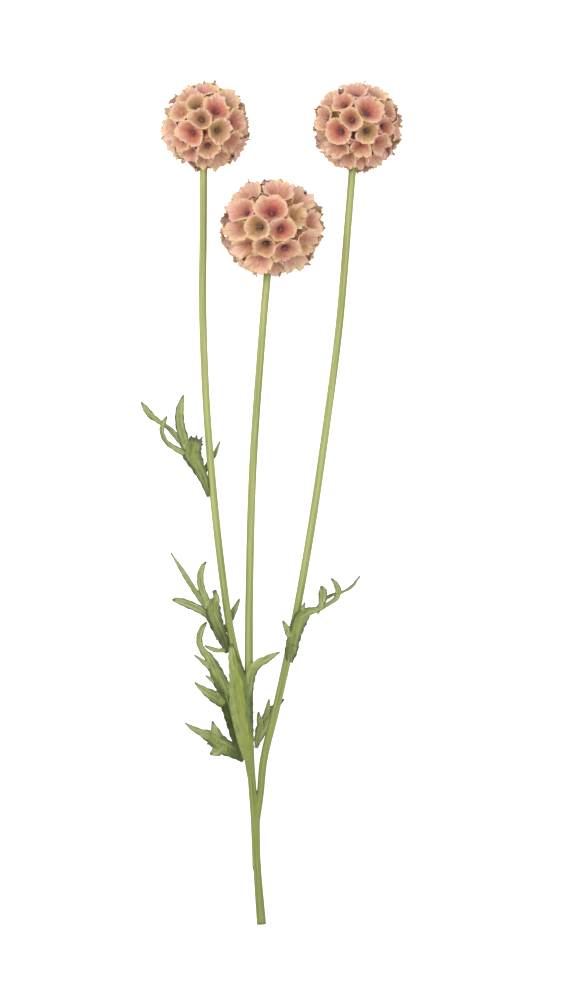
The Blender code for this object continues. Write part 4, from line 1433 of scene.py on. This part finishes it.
# %% [markdown]
# ## Marks on a leaf
# The finish needs a few things of each vertex: how far it lies to either side of the midrib, its
# run along the finger, how close the tip is, and how slender the leaf is there, because a slender
# finger is paler than the broad blade. Two more say how much painted shade it gets: at the root of
# the blade, given for each leaf as a length and a strength, and at the base of a side finger. On the
# sheath the root mark brings in the stem's green instead of shade. Averaging each mark with its
# neighbours' hides the seams between fingers.

# %% Marking tips, roots and midribs
TIP_RUN = 5 * MM
ROOT_SHADE = {
    "leaf_upper": (32 * MM, 0.7), "leaf_second": (34 * MM, 0.9), "leaf_long": (62 * MM, 0.85),
    "leaf_low": (20 * MM, 1.0), "leaf_fork": (32 * MM, 1.0), "leaf_toothed": (4 * MM, 0.3),
    "leaf_right": (26 * MM, 0.6),
}
SHADED_ON_ONE_SIDE = ("leaf_long",)
SIDE_SHARPNESS = 2.5
SHORT_BASE = 6 * MM
LONG_BASES = {"leaf_fork": 18 * MM}
PALER = {"leaf_toothed": 0.9}
SLENDER_HALF = 1.6 * MM
BROAD_HALF = 4.6 * MM
MARK_ROUNDS = 3


def averaged(mesh, values):
    """Each vertex's values mixed with its neighbours', a few times over."""
    ends = np.empty(len(mesh.edges) * 2, dtype=np.int64)
    mesh.edges.foreach_get("vertices", ends)
    first, second = ends.reshape(-1, 2).T
    count = np.bincount(first, minlength=len(values)) + np.bincount(second, minlength=len(values))
    for _ in range(MARK_ROUNDS):
        total = np.zeros_like(values)
        np.add.at(total, first, values[second])
        np.add.at(total, second, values[first])
        values = (values + total) / (1 + count)[:, None]
    return values


def mark_leaf(mesh, name, parts):
    length, strength = ROOT_SHADE[name]
    base_length = LONG_BASES.get(name, SHORT_BASE)
    for index, part in enumerate(parts):
        to_tip = part["run"][-1] - part["run"]
        part["tip"] = np.clip(1 - to_tip / TIP_RUN, 0, 1)
        part["root"] = np.clip(1 - part["run"] / length, 0, 1) * strength * (index == 0)
        part["base"] = np.clip(1 - part["run"] / base_length, 0, 1) * (index > 0)
    stations = together(parts)
    nearest, sideways, _ = find_stations(mesh, stations)
    slender = (BROAD_HALF - stations["half"][nearest]) / (BROAD_HALF - SLENDER_HALF)
    slender += PALER.get(name, 0.0)
    root = stations["root"][nearest]
    if name in SHADED_ON_ONE_SIDE:
        shaded_side = np.clip(0.5 - SIDE_SHARPNESS * sideways, 0, 1)
        root = np.minimum(1.0, SIDE_SHARPNESS * root) * shaded_side
    marks = np.stack([np.clip(sideways, -1, 1), stations["run"][nearest],
                      np.clip(slender, 0, 1), stations["tip"][nearest], root,
                      stations["base"][nearest]], axis=1)
    marks = averaged(mesh, marks)
    write_attribute(mesh, "leaf", marks[:, :3])
    for column, mark in enumerate(("tip", "root", "base"), start=3):
        write_attribute(mesh, mark, marks[:, column])


for name, mesh in leaf_meshes.items():
    mark_leaf(mesh, name, leaf_parts[name])
    print(name, "carries", [layer.name for layer in mesh.attributes if layer.name in
                            ("leaf", "tip", "root", "base")])

# %% [markdown]
# ## The leaves' finish
# A matt green with streaks that run along each finger, a paler middle, a thin dark edge and dry
# greyish tips. Painted shade darkens the root, where the leaves crowd round the stem. The streaks
# are a noise that is read at the place across the finger and the run along it, so they follow every
# bend. The leaf that wraps the fork is a sheath: its blade is yellow down the middle, with painted
# shade on one flank and pale on the other, and a dark edge on the shaded side alone. Its root takes
# the stem's own green.

# %% Leaf green
EDGE_GREEN = srgb(58, 70, 34)
MIDDLE_GREEN = srgb(152, 164, 84)
LEAF_SPECK = srgb(186, 192, 140)
# A painted shade green for the roots of the leaves.
ROOT_SHADE_GREEN = srgb(50, 64, 24)
TIP_GREY = srgb(82, 86, 68)
SHEATH_YELLOW = srgb(158, 162, 72)
SHEATH_SHADE = srgb(86, 108, 60)
SHEATH_PALE = srgb(148, 160, 104)
STEM_GREEN = srgb(136, 146, 74)


def sheath_bands(finish, across, slender, streak, cloud):
    """Bands across the blade of a sheath. Gives back how close its dark edge is."""
    wandering = across + (streak - 0.5) * 1.2 + (cloud - 0.5) * 0.6
    blade = 1 - slender
    # Painted shade on one flank of the sheath.
    shaded_flank = finish.step(wandering, 0.0, 0.6) * blade
    middle = finish.step(wandering, -0.6, 0.0) * (1 - shaded_flank) * blade
    finish.coat(middle * 0.4, SHEATH_YELLOW)
    finish.coat(shaded_flank * 0.5, SHEATH_SHADE)
    finish.coat(finish.step(wandering, -0.1, -0.8) * blade * 0.55, SHEATH_PALE)
    return across * blade + finish.size_of(across) * slender


def make_leaf_finish(name, body, finger, streaks, root_colour, is_sheath=False):
    pale, dark = streaks
    finish = Finish(name, {"Subsurface Weight": 0.08, "Subsurface Scale": 0.001,
                           "Specular IOR Level": 0.3})
    across, run, slender = finish.parts(finish.attribute("leaf", "Vector"))
    cloud = finish.mottle(finish.place(), 130.0, 4.0)
    fine = finish.mottle(finish.place(), 900.0, 4.0)
    drawn_out = finish.node("ShaderNodeCombineXYZ", {}, {0: across * 3.4, 1: run * 80.0, 2: slender})
    streak = finish.mottle(drawn_out, 1.0, 5.0, roughness=0.65)
    finish.colour = finish.mix(finish.step(slender + (cloud - 0.5) * 0.8, 0.2, 0.8), body, finger)
    finish.coat(finish.step(streak, 0.5, 0.66) * 0.8, dark)
    finish.coat(finish.step(streak, 0.47, 0.33) * 0.7, pale)
    finish.coat(finish.step(fine, 0.55, 0.8) * 0.25, LEAF_SPECK)
    from_midrib = finish.size_of(across)
    if is_sheath:
        to_edge = sheath_bands(finish, across, slender, streak, cloud)
    else:
        middle = 1 - finish.step(from_midrib + (streak - 0.5) * 0.3, 0.1, 0.7)
        finish.coat(middle * 0.4, MIDDLE_GREEN)
        to_edge = from_midrib
    # Painted shade at the base of each side finger.
    base = finish.attribute("base") + (streak - 0.5) * 0.5
    finish.coat(finish.step(base, 0.1, 0.9) * 0.7, SHEATH_SHADE)
    finish.coat(finish.step(to_edge + (fine - 0.5) * 0.3, 0.52, 0.92) * 0.72, EDGE_GREEN)
    # Painted shade at the root of the blade; on the sheath, root_colour is the stem's own green.
    root = finish.attribute("root") + (streak - 0.5) * 0.5
    finish.coat(finish.step(root, 0.15, 0.85) * 0.8, root_colour)
    finish.coat(finish.step(finish.attribute("tip"), 0.25, 0.85) * 0.85, TIP_GREY)
    midrib = 1 - finish.step(from_midrib, 0.02, 0.16)
    height = fine * 0.5 + streak - midrib * 0.4
    return finish.finish_with(0.55 + fine * 0.2, height, 0.3 * MM)


leaf_green = make_leaf_finish("leaf_green", srgb(128, 140, 86), srgb(160, 169, 118),
                              (srgb(182, 190, 134), srgb(80, 95, 44)), ROOT_SHADE_GREEN)
sheath_green = make_leaf_finish("sheath_green", srgb(120, 134, 66), srgb(156, 166, 108),
                                (srgb(176, 182, 106), srgb(66, 84, 34)), STEM_GREEN,
                                is_sheath=True)
print("leaf finishes:", leaf_green.name, sheath_green.name)

# %% Leaves
for node, mesh in leaf_meshes.items():
    green = sheath_green if node == "leaf_fork" else leaf_green
    leaf = add_piece(node.replace("leaf", "cut_leaf"), mesh, [green], node)
    print(leaf.name, len(leaf.data.polygons), "faces")

# %% [markdown]
# ## Floor, light and world
# The flower was photographed on plain white with hardly a shadow. A floor that glows a little, as
# a light table does, keeps the shadows pale, and a large soft lamp high on the left gives the round
# stems and cups their shape. A weaker one from the right keeps the far sides from going dull.

# %% Floor
FLOOR_HALF = 3.0
FLOOR_DROP = 0.05 * MM

floor_finish = Finish("floor", {"Base Color": srgb(200, 200, 200), "Roughness": 0.9,
                                "Emission Color": (1, 1, 1, 1), "Emission Strength": 0.95})
shape = bmesh.new()
bmesh.ops.create_grid(shape, x_segments=1, y_segments=1, size=FLOOR_HALF)
floor = put_in_scene("floor", to_mesh(shape, "floor"))
floor.location.z = -FLOOR_DROP
floor.data.materials.append(floor_finish.material)
print("floor, m:", 2 * FLOOR_HALF, "wide")

# %% Lamps
WORLD_STRENGTH = 0.65


def add_lamp(name, place, size, power):
    """A square lamp that looks at the origin."""
    lamp = put_in_scene(name, bpy.data.lights.new(name, "AREA"))
    lamp.data.size = size
    lamp.data.energy = power
    lamp.location = place
    lamp.rotation_euler = Vector(place).to_track_quat("Z", "Y").to_euler()
    return lamp


lamps = [add_lamp("key", (-0.9, 0.7, 1.5), 1.0, 22.0), add_lamp("fill", (1.1, -0.4, 1.3), 1.2, 8.0)]
world = bpy.data.worlds.new("studio")
bpy.context.scene.world = world
world.use_nodes = True
world.node_tree.nodes["Background"].inputs["Color"].default_value = (1, 1, 1, 1)
world.node_tree.nodes["Background"].inputs["Strength"].default_value = WORLD_STRENGTH
print("lamps, W:", {lamp.name: lamp.data.energy for lamp in lamps})
